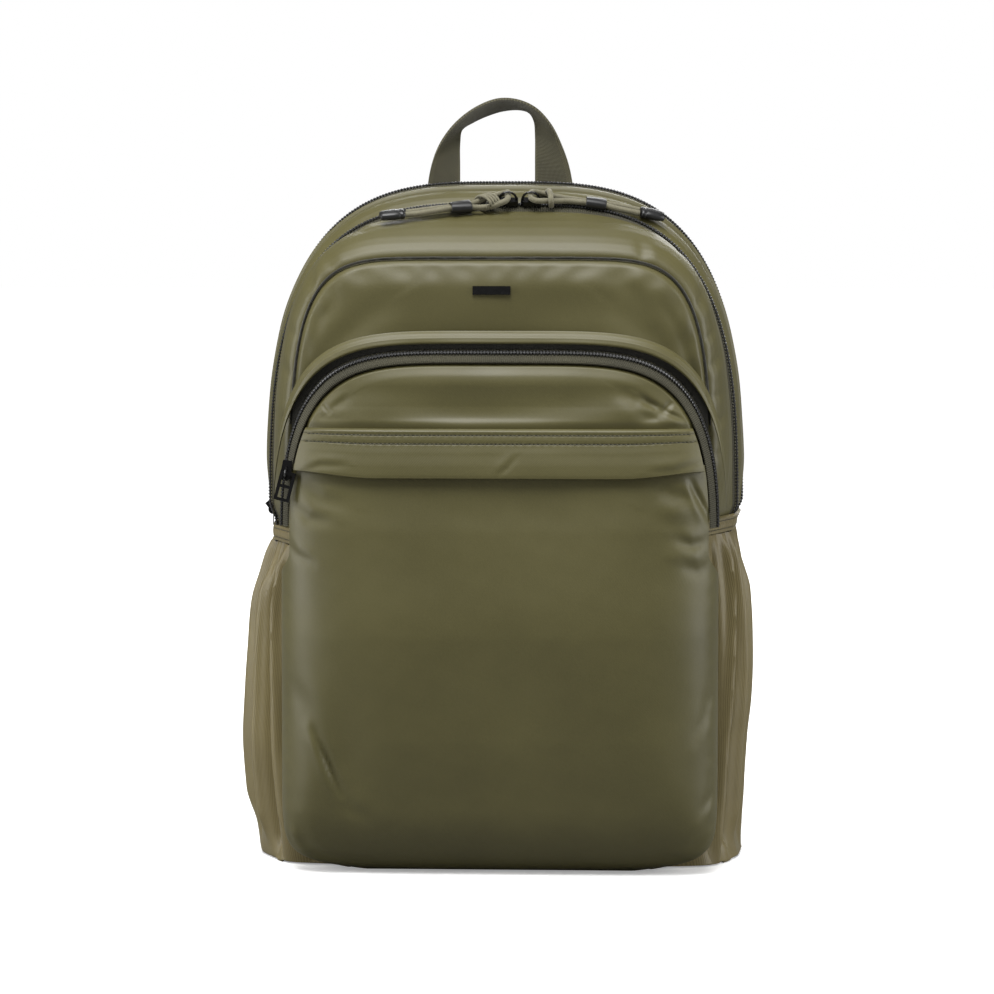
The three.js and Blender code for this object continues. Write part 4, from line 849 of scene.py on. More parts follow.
CORD_DIAMETER = 3.8
SLEEVE_WALL = 0.9
SLEEVE_CLEARANCE = 0.7
CAP_LENGTH = 16
CORD_END_GAP = 3 * GAP
OVAL_SIDES = 36
CORDS = {
    "left": {
        "route": [
            (-62, -17.6, 419), (-54, -16.4, 419.8), (-46, -14.6, 421), (-38, -12.4, 422.3), (-33, -11.1, 423),
            (-27, -9.9, 423.5), (-21, -9, 423.7), (-14, -8.4, 423.7), (-7, -8.2, 424.4), (-1.4, -7.4, 426.4),
            (2.2, -5.4, 428), (3.2, -3, 429.4), (3.2, -0.5, 430.7), (3.2, 2.6, 432.3), (2.8, 6.4, 433.3),
            (0.2, 9.4, 432.8), (-4.4, 9.2, 431.4), (-9.4, 5.8, 429.8), (-14, 2, 428.4), (-18.6, -1.6, 426.3),
            (-23, -4.2, 425), (-28, -5.4, 424.3), (-34, -6.8, 423.8), (-40, -8.3, 423.2), (-48, -10.5, 422.3),
            (-56, -12.4, 421.2), (-62, -13.4, 420.6),
        ],
        "sleeve": (-33.5, -20.5),
        "cap": (-1, -0.2, -0.1),
    },
    "right": {
        "route": [
            (88, 6.5, 419.8), (84, 5.4, 420.6), (78, 4.2, 421.9), (72, 3.2, 423.2), (66, 2.4, 424.8),
            (60, 1.8, 425.7), (54, 1.5, 426.6), (48, 1.4, 427.2), (41, 1, 427.8), (34, -0.8, 427.7),
            (27.6, -3.6, 427.8), (22.4, -5.4, 427.9), (19, -3.8, 429), (18, -2, 429.9), (18, -0.5, 430.7),
            (18, 2.6, 432.3), (18.4, 6.8, 433.4), (21, 10.4, 433.3), (26, 11.2, 432.5), (31, 9.8, 431.2),
            (36, 7.8, 430.2), (42, 6.4, 429.3), (48, 5.9, 428.5), (54, 5.9, 427.6), (60, 6.2, 426.7),
            (66, 6.8, 426), (72, 7.6, 425.1), (78, 8.7, 424), (84, 10, 422.6), (88, 10.9, 421.8),
        ],
        "sleeve": (53.5, 66.5),
        "cap": (1, 0.25, -0.2),
    },
}


def strands_at(route, x):
    """Where the two strands of a doubled cord pass a place across the bag."""
    route = np.array(route, float)
    half = len(route) // 2
    found = []
    for strand in (route[:half], route[half:]):
        order = np.argsort(strand[:, 0])
        found.append(np.array([np.interp(x, strand[order, 0], strand[order, k]) for k in range(3)]))
    return found


def oval_ring(front, rear, direction, radius):
    wide = rear - front
    half_wide = np.linalg.norm(wide) / 2 + radius
    wide = unit(wide - direction * np.dot(wide, direction))
    tall = unit(np.cross(direction, wide))
    angle = np.linspace(0, 2 * math.pi, OVAL_SIDES, endpoint=False)[:, None]
    across = wide * half_wide * power(np.cos(angle), 0.8)
    return (front + rear) / 2 + across + tall * radius * power(np.sin(angle), 0.8)


def make_sleeve(side, route, span):
    """A short wrapped tube round both strands: fine turns of thread with rounded ends."""
    bore = CORD_DIAMETER / 2 + SLEEVE_CLEARANCE
    start, end = (strands_at(route, x) for x in span)
    direction = unit(end[0] + end[1] - start[0] - start[1])
    rings = []
    shares = np.linspace(0, 1, 53)
    for share in shares:
        rounding = SLEEVE_WALL * (0.35 + 0.65 * math.sin(math.pi * share) ** 0.25)
        turn = 0.09 * math.sin(share * 26 * math.pi) ** 2
        front, rear = (lerp(start[k], end[k], share) for k in range(2))
        rings.append(oval_ring(front, rear, direction, bore + rounding - turn))
    for share in shares[::-4]:
        front, rear = (lerp(start[k], end[k], share) for k in range(2))
        rings.append(oval_ring(front, rear, direction, bore))
    faces = ring_faces(len(rings), OVAL_SIDES, closed=True)
    piece = link_mesh("sleeve_" + side, np.concatenate(rings), faces, BLACK_RUBBER, crisp=60)
    return dress(piece, "black_rubber", "cord_sleeve_" + side)


# Along the cap and its size: a crimped collar, a body and a rounded tip
CAP_SHAPE = [
    (0, 0.82), (0.03, 0.97), (0.1, 1.02), (0.17, 1.0), (0.2, 0.93), (0.24, 1.0), (0.45, 1.05),
    (0.7, 1.0), (0.88, 0.92), (0.95, 0.84), (0.985, 0.72), (1.0, 0.5),
]


def make_cap(side, route, cap):
    direction = unit(np.array(cap, float))
    ends = [np.array(route[k], float) + direction * CORD_END_GAP for k in (0, -1)]
    rings = []
    for along, size in CAP_SHAPE:
        moved = [end + direction * along * CAP_LENGTH for end in ends]
        centre = (moved[0] + moved[1]) / 2
        drawn = [lerp(p, centre, 1 - size) for p in moved]
        rings.append(oval_ring(*drawn, direction, (CORD_DIAMETER / 2 + SLEEVE_WALL) * size))
    points = np.concatenate(rings)
    piece = link_mesh("cap_" + side, points, ring_faces(len(rings), OVAL_SIDES), BLACK_PLASTIC, crisp=50)
    return dress(piece, "black_plastic", "cord_cap_" + side)


def make_wrap(side, centre, axis, lean, half_wide, half_tall, turns, pitch, diameter):
    """Turns of cord round both strands, where the pull is tied."""
    axis = unit(np.array(axis, float))
    wide = unit(np.array(lean, float) - axis * np.dot(lean, axis))
    tall = np.cross(axis, wide)
    share = np.linspace(0, 1, 40 * turns + 1)
    angle = share * turns * 2 * math.pi
    spin = wide * half_wide * np.cos(angle)[:, None] + tall * half_tall * np.sin(angle)[:, None]
    path = np.array(centre) + spin + axis * ((share - 0.5) * turns * pitch)[:, None]
    piece, _ = braided_cord("tie_" + side, path, diameter, CORD_BRAID)
    return dress(piece, "cord")


def make_cord(side):
    route = CORDS[side]["route"]
    path = centripetal(route, 14)
    piece, line = braided_cord("cord_" + side, path, CORD_DIAMETER, CORD_BRAID)
    dress(piece, "cord", "cord_pull_" + side)
    sleeve = make_sleeve(side, route, CORDS[side]["sleeve"])
    cap = make_cap(side, route, CORDS[side]["cap"])
    length = np.linalg.norm(np.diff(line, axis=0), axis=1).sum()


left_tie = make_wrap(
    "left",
    (-10.5, -1.6, 427.2),
    (-0.82, -0.5, -0.2),
    (0.5, -0.85, -0.1),
    half_wide=9.0,
    half_tall=4.4,
    turns=4,
    pitch=2.1,
    diameter=1.9,
)
right_tie = make_wrap(
    "right",
    (30.5, 3.9, 429.4),
    (0.95, 0.1, -0.1),
    (0, 1, 0.2),
    half_wide=8.8,
    half_tall=4.4,
    turns=1,
    pitch=4.6,
    diameter=3.6,
)
make_cord("left")
make_cord("right")

# Body strips over the arch

BODY_MIDDLE = (0, -20, 220)
# How far the strips fill the waist in behind the side pockets' hems
SNUG = 5.0


def arch_grid(start, end, across, columns):
    """Rows at shares of the way between two depths, from the left foot over the top to the right foot."""
    rows = []
    for share in across:
        depth = lerp(start, end, share)
        x, z = body_outline(depth, SNUG).over(ZIP_FOOT_HEIGHT, columns)
        rows.append(np.stack([x, depth_to_y(depth, z), z], axis=1))
    return np.array(rows)


def raised(grid, lift):
    return grid + grid_normals(grid, BODY_MIDDLE) * lift[:, :, None]


def fullness(grid):
    """The strips lie flat at their feet, where the side pockets' hems hold them in."""
    return smooth((grid[:, :, 2] - SIDE_POCKET_HEIGHT) / 45)


HALF_TAPE = ZIP_TAPE / 2 / MAIN_DEPTH
# How far each strip laps the zip tape beside it
LAP = 1.2 / MAIN_DEPTH
REAR_PROFILE = [(0, 0), (0.5, 2), (1, 0)]
# The middle gusset: a flat band, a round piping and a puffed band down to the zip
MIDDLE_PROFILE = [
    (0, 0), (0.04, 0.9), (0.16, 2.0), (0.25, 2.2), (0.285, 3.3), (0.31, 3.5), (0.335, 2.9), (0.36, 1.4),
    (0.42, 2.1), (0.62, 3.0), (0.8, 2.4), (0.93, 0.9), (0.985, -0.2), (1, -1.2),
]
FRONT_PROFILE = [
    (0, -1.2), (0.02, -0.2), (0.08, 0.8), (0.2, 2.2), (0.36, 4.0), (0.52, 5.1), (0.68, 5.3), (0.8, 4.7),
    (0.9, 3.4), (0.96, 1.8), (0.985, 0.2), (1, -2.2),
]
# Puckers of a gusset: place along the arch, slant, width, depth, edge it starts from
# (1 the front one, 0 the rear one) and reach
FRONT_PUCKERS = [
    (0.285, 0.020, 0.010, 1.9, 1, 0.75), (0.318, -0.014, 0.007, 1.1, 1, 0.5),
    (0.345, 0.022, 0.009, 1.5, 0, 0.6), (0.395, 0.010, 0.006, 0.7, 0, 0.5),
    (0.452, 0.006, 0.005, 0.6, 0, 0.45), (0.478, -0.004, 0.004, 0.8, 0, 0.4),
    (0.505, 0.005, 0.004, 0.7, 0, 0.4), (0.565, -0.012, 0.007, 0.8, 0, 0.5),
    (0.655, -0.022, 0.008, 1.6, 1, 0.55), (0.69, -0.012, 0.007, 1.0, 0, 0.5),
    (0.735, -0.016, 0.009, 1.4, 1, 0.7), (0.77, -0.008, 0.006, 1.1, 1, 0.5),
    (0.80, -0.010, 0.008, 1.5, 1, 0.6), (0.832, 0.006, 0.006, 1.0, 1, 0.5),
    (0.862, -0.008, 0.007, 1.4, 1, 0.6), (0.895, 0.006, 0.006, 1.0, 1, 0.45),
    (0.93, -0.006, 0.007, 1.1, 1, 0.5), (0.235, -0.012, 0.008, 1.1, 1, 0.5),
    (0.19, 0.010, 0.008, 1.0, 1, 0.5), (0.14, -0.008, 0.008, 0.8, 1, 0.45),
]
MIDDLE_PUCKERS = [
    (0.3, 0.03, 0.02, 0.8, 1, 0.5), (0.36, 0.03, 0.012, 0.6, 1, 0.4), (0.64, -0.03, 0.014, 0.7, 1, 0.5),
    (0.72, -0.02, 0.016, 0.7, 1, 0.5), (0.2, 0.02, 0.018, 0.6, 1, 0.5),
    (0.84, -0.02, 0.016, 0.7, 1, 0.5),
]


def puckers(along, across, rows):
    total = np.zeros(np.broadcast(along, across).shape)
    for place, slant, width, depth, edge, reach in rows:
        away = np.abs(across - edge)
        centre = place + slant * away
        spread = width * (0.6 + away)
        faded = 1 - smooth(away / reach)
        total = total - depth * bell(along, centre, spread) * faded * smooth(away / 0.05)
        beside = bell(along, centre + 1.7 * width, spread)
        total = total + 0.5 * depth * beside * faded * smooth(away / 0.08)
    return total


def make_gusset(name, node, start, end, profile, rows, columns, seed, folds=(), uneven=0.35):
    across = np.linspace(0, 1, rows)
    grid = arch_grid(start, end, across, columns)
    along = np.linspace(0, 1, columns)[None, :]
    lift = read_table(profile, across)[:, None] * np.ones((1, columns))
    depth_mm = (end - start) * MAIN_DEPTH
    shaped = puckers(along, across[:, None], folds) if folds else 0
    edge = np.sin(math.pi * np.clip(across, 0, 1))[:, None] ** 0.5
    lift = lift + (shaped + uneven * ripple(along * 780, across[:, None] * depth_mm, seed, 55)) * edge
    grid = raised(grid, lift * fullness(grid))
    dress(wall(name, grid, CLOTH, NYLON, BODY_MIDDLE), "nylon", node)


ZIP_LIFT = [-0.5, -0.1, 0.05, 0.05, 0.15, 0.3, 0.15, 0.05, 0.05, -0.1, -0.5]
ZIP_COLUMNS = 420


def make_zip(name, node, depth, coil_radius, coil_rise):
    middle = len(ZIP_LIFT) // 2
    across = np.arange(len(ZIP_LIFT)) / (len(ZIP_LIFT) - 1)
    grid = arch_grid(depth - HALF_TAPE, depth + HALF_TAPE, across, ZIP_COLUMNS)
    grid = raised(grid, np.array(ZIP_LIFT)[:, None] * np.ones((1, ZIP_COLUMNS)))
    dress(wall(name, grid, ZIP_THICKNESS - 0.3, TAPE, BODY_MIDDLE), "zip_tape", node)
    normals = grid_normals(grid, BODY_MIDDLE)
    line = grid[middle] + normals[middle] * coil_rise
    dress(coil_line(name + "_coil", line, normals[middle], coil_radius), "zip_tape")


make_gusset(
    "rear_band",
    "rear_gusset",
    GAP / MAIN_DEPTH,
    REAR_ZIP - HALF_TAPE + LAP,
    REAR_PROFILE,
    rows=10,
    columns=260,
    seed=2,
)
make_zip("rear_zip_tape", "rear_zip", REAR_ZIP, 1.1, 0.5)
make_gusset(
    "middle_band",
    "mid_gusset",
    REAR_ZIP + HALF_TAPE - LAP,
    MAIN_ZIP - HALF_TAPE + LAP,
    MIDDLE_PROFILE,
    rows=34,
    columns=360,
    folds=MIDDLE_PUCKERS,
    seed=3,
)
make_zip("main_zip_tape", "main_zip", MAIN_ZIP, 1.35, 1.1)
make_gusset(
    "front_band",
    "front_gusset",
    MAIN_ZIP + HALF_TAPE - LAP,
    1,
    FRONT_PROFILE,
    rows=40,
    columns=440,
    folds=FRONT_PUCKERS,
    uneven=0.5,
    seed=4,
)

# Sides and base below the strips


def make_side_base():
    depths = np.linspace(GAP / MAIN_DEPTH, 1, 26)
    share = np.linspace(0, 1, 260)
    rows = []
    for depth in depths:
        outline = body_outline(depth)
        foot = outline.at_height(ZIP_FOOT_HEIGHT - GAP)
        x, z = run_along(outline.at, foot, -foot)(share)
        rows.append(np.stack([x, depth_to_y(depth, z), z], axis=1))
    piece = wall("side_and_base", np.array(rows), CLOTH, NYLON_DARK, BODY_MIDDLE)
    dress(piece, "nylon_dark", "side_base_panel")


make_side_base()

# Front panel above the pocket: columns of a fold are its line, width, depth and ridge

FRONT_SEAM_FOOT = 286
FRONT_PANEL_FOLDS = [
    ([(-131, 304), (-112, 326), (-90, 350), (-72, 362)], 9, 2.2, -1.6),
    ([(126, 312), (108, 332), (88, 350), (74, 360)], 9, 2.4, 1.7),
    ([(-126, 330), (-116, 352), (-104, 368)], 5, 1.3, 0.7),
    ([(120, 330), (112, 350), (102, 366)], 5, 1.5, -0.8),
    ([(128, 300), (123, 322), (117, 340)], 4, 1.4, 0.8),
    ([(60, 392), (84, 372), (98, 350)], 7, 1.2, 0.8),
]
FRONT_PANEL_SWELLS = [
    (0, 344, 66, 15, -2.8), (-60, 376, 44, 11, 1.5), (55, 378, 46, 11, 1.5), (40, 358, 34, 14, -1.4),
    (-100, 330, 12, 16, 1.4), (106, 328, 12, 16, 1.4),
]


def make_front_panel():
    x, z = fill_sides(*outline_sides(front_outline, 45, 100), 150, 130)
    y = front_panel_y(x, z)
    r = np.minimum(front_outline.radius(x, z), 1)
    inner = 1 - smooth((r - 0.9) / 0.1)
    above = smooth((z - 285) / 20)
    shaped = creases(x, z, FRONT_PANEL_FOLDS) + swells(x, z, FRONT_PANEL_SWELLS)
    shaped = shaped + 0.45 * ripple(x, z, 11, 70)
    turn = np.arctan2(x, z - 250) * 46 + 2 * ripple(x, z, 12, 60)
    puckered = 0.5 * np.sin(turn) * bell(r, 0.955, 0.03) * above
    rolled = 3.4 * smooth((r - 0.975) / 0.025)
    y = y - (shaped * inner + puckered) * above + rolled * above
    dress(front_slab("front_face", x, z, y, CLOTH, NYLON), "nylon", "front_panel")
    make_seam_groove_shade()


def make_seam_groove_shade():
    """A dark tube along the seam between the front band and the front face: painted shade in the seam's
    groove.
    """
    x, z = front_outline.over(FRONT_SEAM_FOOT, 600)
    line = np.stack([x * 0.999, front_panel_y(x, z) + 0.4, z], axis=1)
    path, _ = resample(line, 1.4)
    dress(tube("seam_groove_shade", path, np.full((len(path), 6), 0.85), STITCH_GROOVE_SHADE), "nylon")


make_front_panel()

# Front pocket


# Across the tape, from its outer edge: how far the welt stands forward
POCKET_WELT = [(0, 0), (0.4, 0.1), (0.55, 0.5), (0.75, 1.5), (0.9, 1.3), (1, 0.2)]
COIL_ROW = 3


def make_pocket_zip():
    insets = np.linspace(-0.4, POCKET_TAPE, 13)
    rows = []
    for inset in insets:
        x, z = pocket_arch(inset).over(POCKET_ZIP_FOOT, 520)
        rows.append(np.stack([x, pocket_y(x, z), z], axis=1))
    grid = np.array(rows)
    grid[:, :, 1] -= read_table(POCKET_WELT, insets / POCKET_TAPE)[:, None]
    inner = grid + np.array([0, ZIP_THICKNESS, 0])
    dress(slab("pocket_zip_tape", grid, inner, TAPE), "zip_tape", "pocket_zip")
    normals = grid_normals(grid, (0, 0, 200))
    line = grid[COIL_ROW] + normals[COIL_ROW] * 0.7
    dress(coil_line("pocket_zip_coil", line, normals[COIL_ROW], 1.25), "zip_tape")
    make_hidden_tape()


def make_hidden_tape():
    """The zip's other half under the storm flap, coloured near black: painted shade."""
    rows = []
    for inset in (-0.6, -1.8, -3, -4.2):
        x, z = pocket_arch(inset).over(POCKET_ZIP_FOOT, 300)
        reach = np.minimum(np.abs(x), front_outline.half_at(z) - 1)
        rows.append(np.stack([np.sign(x) * reach, front_panel_y(reach, z) - 2.6, z], axis=1))
    grid = np.array(rows)
    dress(slab("pocket_zip_inner_tape", grid, grid + np.array([0, 0.6, 0]), TAPE_SHADOW), "zip_tape")


# Across the flap, from the front panel to its free edge: how far it stands forward
LIP_PROFILE = [(0, -0.35), (0.25, 0.25), (0.55, 0.8), (0.85, 1), (0.94, 0.95), (1, 0.55)]


def make_lip():
    """Storm flap: leaves the front panel, stands proud and rolls under along its free edge."""
    columns = 420
    outer_arch = pocket_arch(-LIP_WIDTH)
    half_width = POCKET_WIDTH / 2 + LIP_OVERHANG
    top = POCKET_HEIGHT + LIP_OVERHANG * 0.8
    inner_arch = Outline(half_width, top, POCKET_ACROSS, POCKET_UP)
    x0, z0 = outer_arch.over(POCKET_ZIP_FOOT, columns)
    x1, z1 = inner_arch.over(POCKET_ZIP_FOOT, columns)
    across = np.linspace(0, 1, 22)[:, None]
    z = lerp(z0, z1, across)
    pull = smooth((z - POCKET_ZIP_FOOT) / (POCKET_HEIGHT - POCKET_ZIP_FOOT))
    x = lerp(x1, lerp(x0, x1, across), pull)
    seated = front_panel_y(x, z) - GAP - CLOTH
    proud = front_panel_y(x, z) - POCKET_SEAT - ZIP_THICKNESS - CLOTH - GAP
    forward = read_table(LIP_PROFILE, across)
    along = np.linspace(0, 1, columns)[None, :]
    wave = 0.5 * ripple(along * 640, across * 8, 21, 60) * np.sin(math.pi * across)
    y = lerp(seated, proud, forward) - wave
    dress(front_slab("storm_lip", x, z, y, CLOTH, NYLON), "nylon", "pocket_lip")


UPPER_FOLDS = [
    ([(-119, 309), (-113, 301), (-108, 295)], 1.7, 2.4, -1.0),
    ([(-109, 296), (-103, 299), (-94, 305)], 3.2, 1.1, 0.6),
    ([(-122, 300), (-112, 292), (-98, 289)], 4, 0.9, 0.5),
    ([(118, 310), (111, 303), (104, 296)], 2.2, 2.6, 0.9),
    ([(90, 305), (95, 301), (103, 297)], 2.6, 2.6, -1.0),
    ([(104, 296), (113, 292.5), (125, 286)], 2.0, 1.9, 0.8),
    ([(114, 303), (119, 296), (126, 287)], 2.2, 1.4, 0.6),
    ([(76, 309), (86, 303), (96, 296)], 4.5, 1.5, -0.7),
    ([(-60, 296), (-20, 292), (40, 294)], 9, 0.8, 0.0),
]
UPPER_SWELLS = [
    (0, 314, 90, 10, 1.8), (80, 298, 22, 9, 1.6), (-80, 300, 26, 9, 1.4), (112, 288, 10, 5, 1.4),
    (97, 292, 9, 5, -2.0), (-20, 293, 60, 7, -1.2),
]


def make_pocket_upper():
    arch = pocket_arch(POCKET_TAPE + 2 * GAP)
    foot = arch.at_height(FLAP_TOP - 14)
    shoulder = arch.at_angle(-50)
    start_x, start_z = arch.at(foot)
    sides = (
        lambda share: (lerp(start_x, -start_x, share), start_z + 0 * share),
        run_along(arch.at, shoulder, 1 - shoulder),
        run_along(arch.at, foot, shoulder),
        run_along(arch.at, 1 - foot, 1 - shoulder),
    )
    x, z = fill_sides(*sides, 90, 200)
    y = pocket_y(x, z)
    r = arch.radius(x, z)
    inner = 1 - smooth((r - 0.93) / 0.07)
    shaped = creases(x, z, UPPER_FOLDS) + swells(x, z, UPPER_SWELLS) + 0.35 * ripple(x, z, 31, 48)
    tucked_in = 1.6 * smooth((FLAP_TOP + 5 - z) / 6)
    rolled = 1.5 * smooth((r - 0.985) / 0.015)
    y = y - shaped * inner * smooth((z - FLAP_TOP) / 7) + tucked_in + rolled
    dress(front_slab("pocket_top", x, z, y, CLOTH, NYLON), "nylon", "pocket_upper")


# The band's face: drop below its top edge, and how far it stands forward
BAND_ROWS = [
    (0, -0.75), (0.02, 0.1), (0.05, 0.5), (0.1, 0.42), (0.125, 0.22), (0.15, 0.42), (0.22, 0.5),
    (0.275, 0.42), (0.3, 0.18), (0.33, 0.36), (0.5, 0.62), (0.75, 0.92), (0.93, 1.0), (0.985, 0.92),
    (1, 0.6),
]
STITCH_DROPS = (0.125, 0.3)
BAND_FOLDS = [
    ([(0, 256), (6, 261), (12, 268)], 2.2, 0.5, 0.3),
    ([(-124, 258), (-112, 262), (-96, 262)], 2.4, 0.6, 0.4),
    ([(96, 258), (112, 259), (126, 264)], 2.6, 0.7, 0.4),
]


def band_grid(drop):
    arch = pocket_arch(POCKET_TAPE + 1)
    across = np.linspace(-1, 1, 300)[None, :]
    rise = 4 * smooth((np.abs(across) - 0.6) / 0.4) * drop
    z = FLAP_TOP - FLAP_DROP * drop + rise
    x = across * arch.half_at(z)
    forward = read_table(BAND_ROWS, drop)
    y = pocket_y(x, z) - GAP - FLAP_THICKNESS - FLAP_HANG * forward
    shaped = creases(x, z, BAND_FOLDS) + 0.25 * ripple(x, z, 41, 40)
    near_stitches = sum(bell(drop, at, 0.04) for at in STITCH_DROPS)
    puckered = 0.12 * np.sin(x * 2 * math.pi / 5.2 + ripple(x, z, 42, 30)) * near_stitches
    y = y - shaped * smooth((drop - 0.36) / 0.2) - puckered
    return x, y, z


def make_band():
    drop = np.linspace(0, 1, 70)[:, None]
    x, y, z = band_grid(drop)
    dress(front_slab("stitched_band", x, z, y, FLAP_THICKNESS, NYLON), "nylon", "pocket_flap")
    rows = []
    for at in STITCH_DROPS:
        sx, sy, sz = band_grid(np.array([[at - 0.01], [at], [at + 0.01]]))
        line = np.stack([sx, sy, sz], axis=2)
        out = grid_normals(line, (0, 0, 200))
        rows.append((line[1, 4:-4] + out[1, 4:-4] * 0.12, out[1, 4:-4]))
    stitches("band_stitching", rows, pitch=2.7, length=1.7, width=0.85)


LOWER_FOLDS = [
    ([(119, 258), (124, 246), (130, 234), (134, 226)], 2.2, 2.4, -1.2),
    ([(100, 250), (112, 243), (126, 240)], 5, 1.4, 0.9),
    ([(112, 216), (122, 212), (131, 214)], 3.4, 1.8, 0.9),
    ([(116, 200), (126, 196), (134, 199)], 4.5, 1.5, 0.9),
    ([(96, 232), (110, 226), (126, 227)], 6, 1.0, 0.7),
    ([(-116, 96), (-111, 84), (-105, 68), (-99, 54)], 2.6, 2.8, -1.3),
    ([(-99, 54), (-93, 44), (-84, 38)], 5, 1.0, 0.5),
    ([(-136, 30), (-134, 18), (-126, 6)], 2.6, 2.2, 0.9),
    ([(-128, 34), (-122, 18), (-108, 8)], 4, 1.0, 0.6),
    ([(124, 88), (131, 104), (135, 124)], 3.6, 1.3, -0.8),
    ([(128, 40), (135, 52), (140, 66)], 3.4, 1.5, -0.8),
    ([(122, 18), (131, 26), (138, 36)], 4, 1.3, -0.6),
    ([(-130, 236), (-120, 228), (-106, 226)], 4, 1.4, 0.7),
    ([(-124, 250), (-112, 240), (-96, 236)], 5, 1.0, 0.6),
    ([(-136, 214), (-128, 205), (-118, 200)], 3, 1.1, 0.5),
    ([(-134, 128), (-124, 112), (-117, 96)], 7, 1.1, 0.5),
]
LOWER_SWELLS = [
    (-62, 150, 46, 60, 2.8), (64, 160, 50, 56, 2.6), (0, 100, 40, 60, -2.2), (-96, 78, 16, 26, -2.4),
    (-118, 70, 14, 30, 1.2), (112, 232, 14, 10, 1.6), (118, 206, 12, 7, 1.4), (0, 230, 90, 16, -1.5),
    (-30, 30, 60, 16, 1.2), (70, 26, 50, 18, 1.0), (120, 70, 14, 24, -1.0), (-20, 190, 34, 26, -0.8),
]


def pocket_lower_inset(z):
    return (POCKET_TAPE + 2 * GAP) * smooth((z - POCKET_ZIP_FOOT) / 16 + 2)


# How far the pocket's edges are drawn in under its face, as a share of its half width
TUCK_PULL = POCKET_TUCK / (POCKET_WIDTH / 2)


def tuck_height(z):
    return np.maximum(lerp(z, SPRING_HEIGHT, TUCK_PULL * 0.2), CLOTH * 0.5)


def tucked_edge(edge):
    """Where a side edge of the pocket's face meets the front panel, inside its seam."""
    z = tuck_height(edge[:, 2])
    seam = np.abs(front_outline.at(front_outline.at_height(z))[0])
    x = np.sign(edge[:, 0]) * np.minimum(np.abs(edge[:, 0]) * (1 - TUCK_PULL), seam)
    return np.stack([x, front_panel_y(x, z) - GAP, z], axis=1)


def make_pocket_lower():
    def edge_at(fraction):
        x, z = pocket_outline.at(fraction)
        return x - np.sign(x) * pocket_lower_inset(z), z

    base = pocket_outline.at_angle(-100)
    head = pocket_outline.at_height(POCKET_LOWER_TOP)
    head_x, head_z = edge_at(head)
    sides = (
        run_along(edge_at, base, -base),
        lambda share: (lerp(head_x, -head_x, share), head_z + 0 * share),
        run_along(edge_at, base, head),
        run_along(edge_at, 1 - base, 1 - head),
    )
    x, z = fill_sides(*sides, 150, 150)
    y = pocket_y(x, z)
    r = pocket_outline.radius(x, z)
    inner = 1 - smooth((r - 0.965) / 0.035)
    under_band = 1 - smooth((z - 246) / 12)
    shaped = creases(x, z, LOWER_FOLDS) + swells(x, z, LOWER_SWELLS)
    shaped = shaped + 0.5 * ripple(x, z, 51, 75) + 0.14 * ripple(x, z, 52, 22)
    seam_pucker = 0.35 * np.sin(z * 2 * math.pi / 13 + 3 * ripple(x, z, 53, 45)) * bell(r, 0.975, 0.02)
    y = y - (shaped * inner * under_band + seam_pucker * (np.abs(x) > 80))
    face = np.stack([x, y, z], axis=2)
    columns = [face]
    for share in (0.45, 1.0):
        left, right = (lerp(edge, tucked_edge(edge), share) for edge in (face[:, 0], face[:, -1]))
        columns = [left[:, None], *columns, right[:, None]]
    grid = np.concatenate(columns, axis=1)
    first = grid[0]
    x = first[:, 0] * (1 - TUCK_PULL)
    z = tuck_height(first[:, 2])
    below = np.stack([x, front_panel_y(x, z) - GAP, z], axis=1)
    grid = np.concatenate([below[None], lerp(below, first, 0.55)[None], grid])
    dress(wall("pocket_face", grid, 1.6, NYLON, (0, -20, 130)), "nylon", "pocket_lower")


make_pocket_zip()
make_lip()
make_pocket_upper()
make_band()
make_pocket_lower()

# Side pockets: columns are height, and the bulge on the left and on the right

SIDE_POCKET_ROWS = [
    (0.085, 0.06, 0.06), (0.03, 0.4, 0.3), (0.006, 0.64, 0.44), (0.08, 0.75, 0.32), (0.2, 0.89, 0.39),
    (0.34, 0.98, 0.45), (0.47, 0.93, 0.58), (0.62, 0.84, 0.62), (0.76, 0.73, 0.56), (0.87, 0.44, 0.4),
    (0.952, 0.2, 0.22),
]
HEM_BULGE = 0.24


def side_point(side, share, z, stand_off):
    """A point beside the body: share runs from the front seam to the back seam."""
    depth = lerp(0.97, 0.03, share)
    body_x = np.zeros(np.broadcast(share, z).shape)
    for k, one_depth in enumerate(depth[0]):
        straight = 60 * float(smooth((share[0, k] - 0.02) / 0.2) * smooth((0.98 - share[0, k]) / 0.2))
        body_x[:, k] = body_outline(one_depth).half_at(np.maximum(z[:, 0], straight))
    return np.stack([side * (body_x + stand_off), depth_to_y(depth, z) + 0 * body_x, z + 0 * body_x], axis=2)


def spread_rows(column, count):
    """Heights and bulges between the rows of the table, evenly spaced."""
    table = np.array(SIDE_POCKET_ROWS)
    at = np.linspace(0, len(table) - 1, count)
    place = np.arange(len(table))
    pairs = []
    for values in (table[:, 0], table[:, column]):
        route = centripetal(np.stack([place * 1.0, values * 6, values * 0], axis=1), 12)
        pairs.append(np.interp(at, route[:, 0], route[:, 1] / 6))
    return pairs


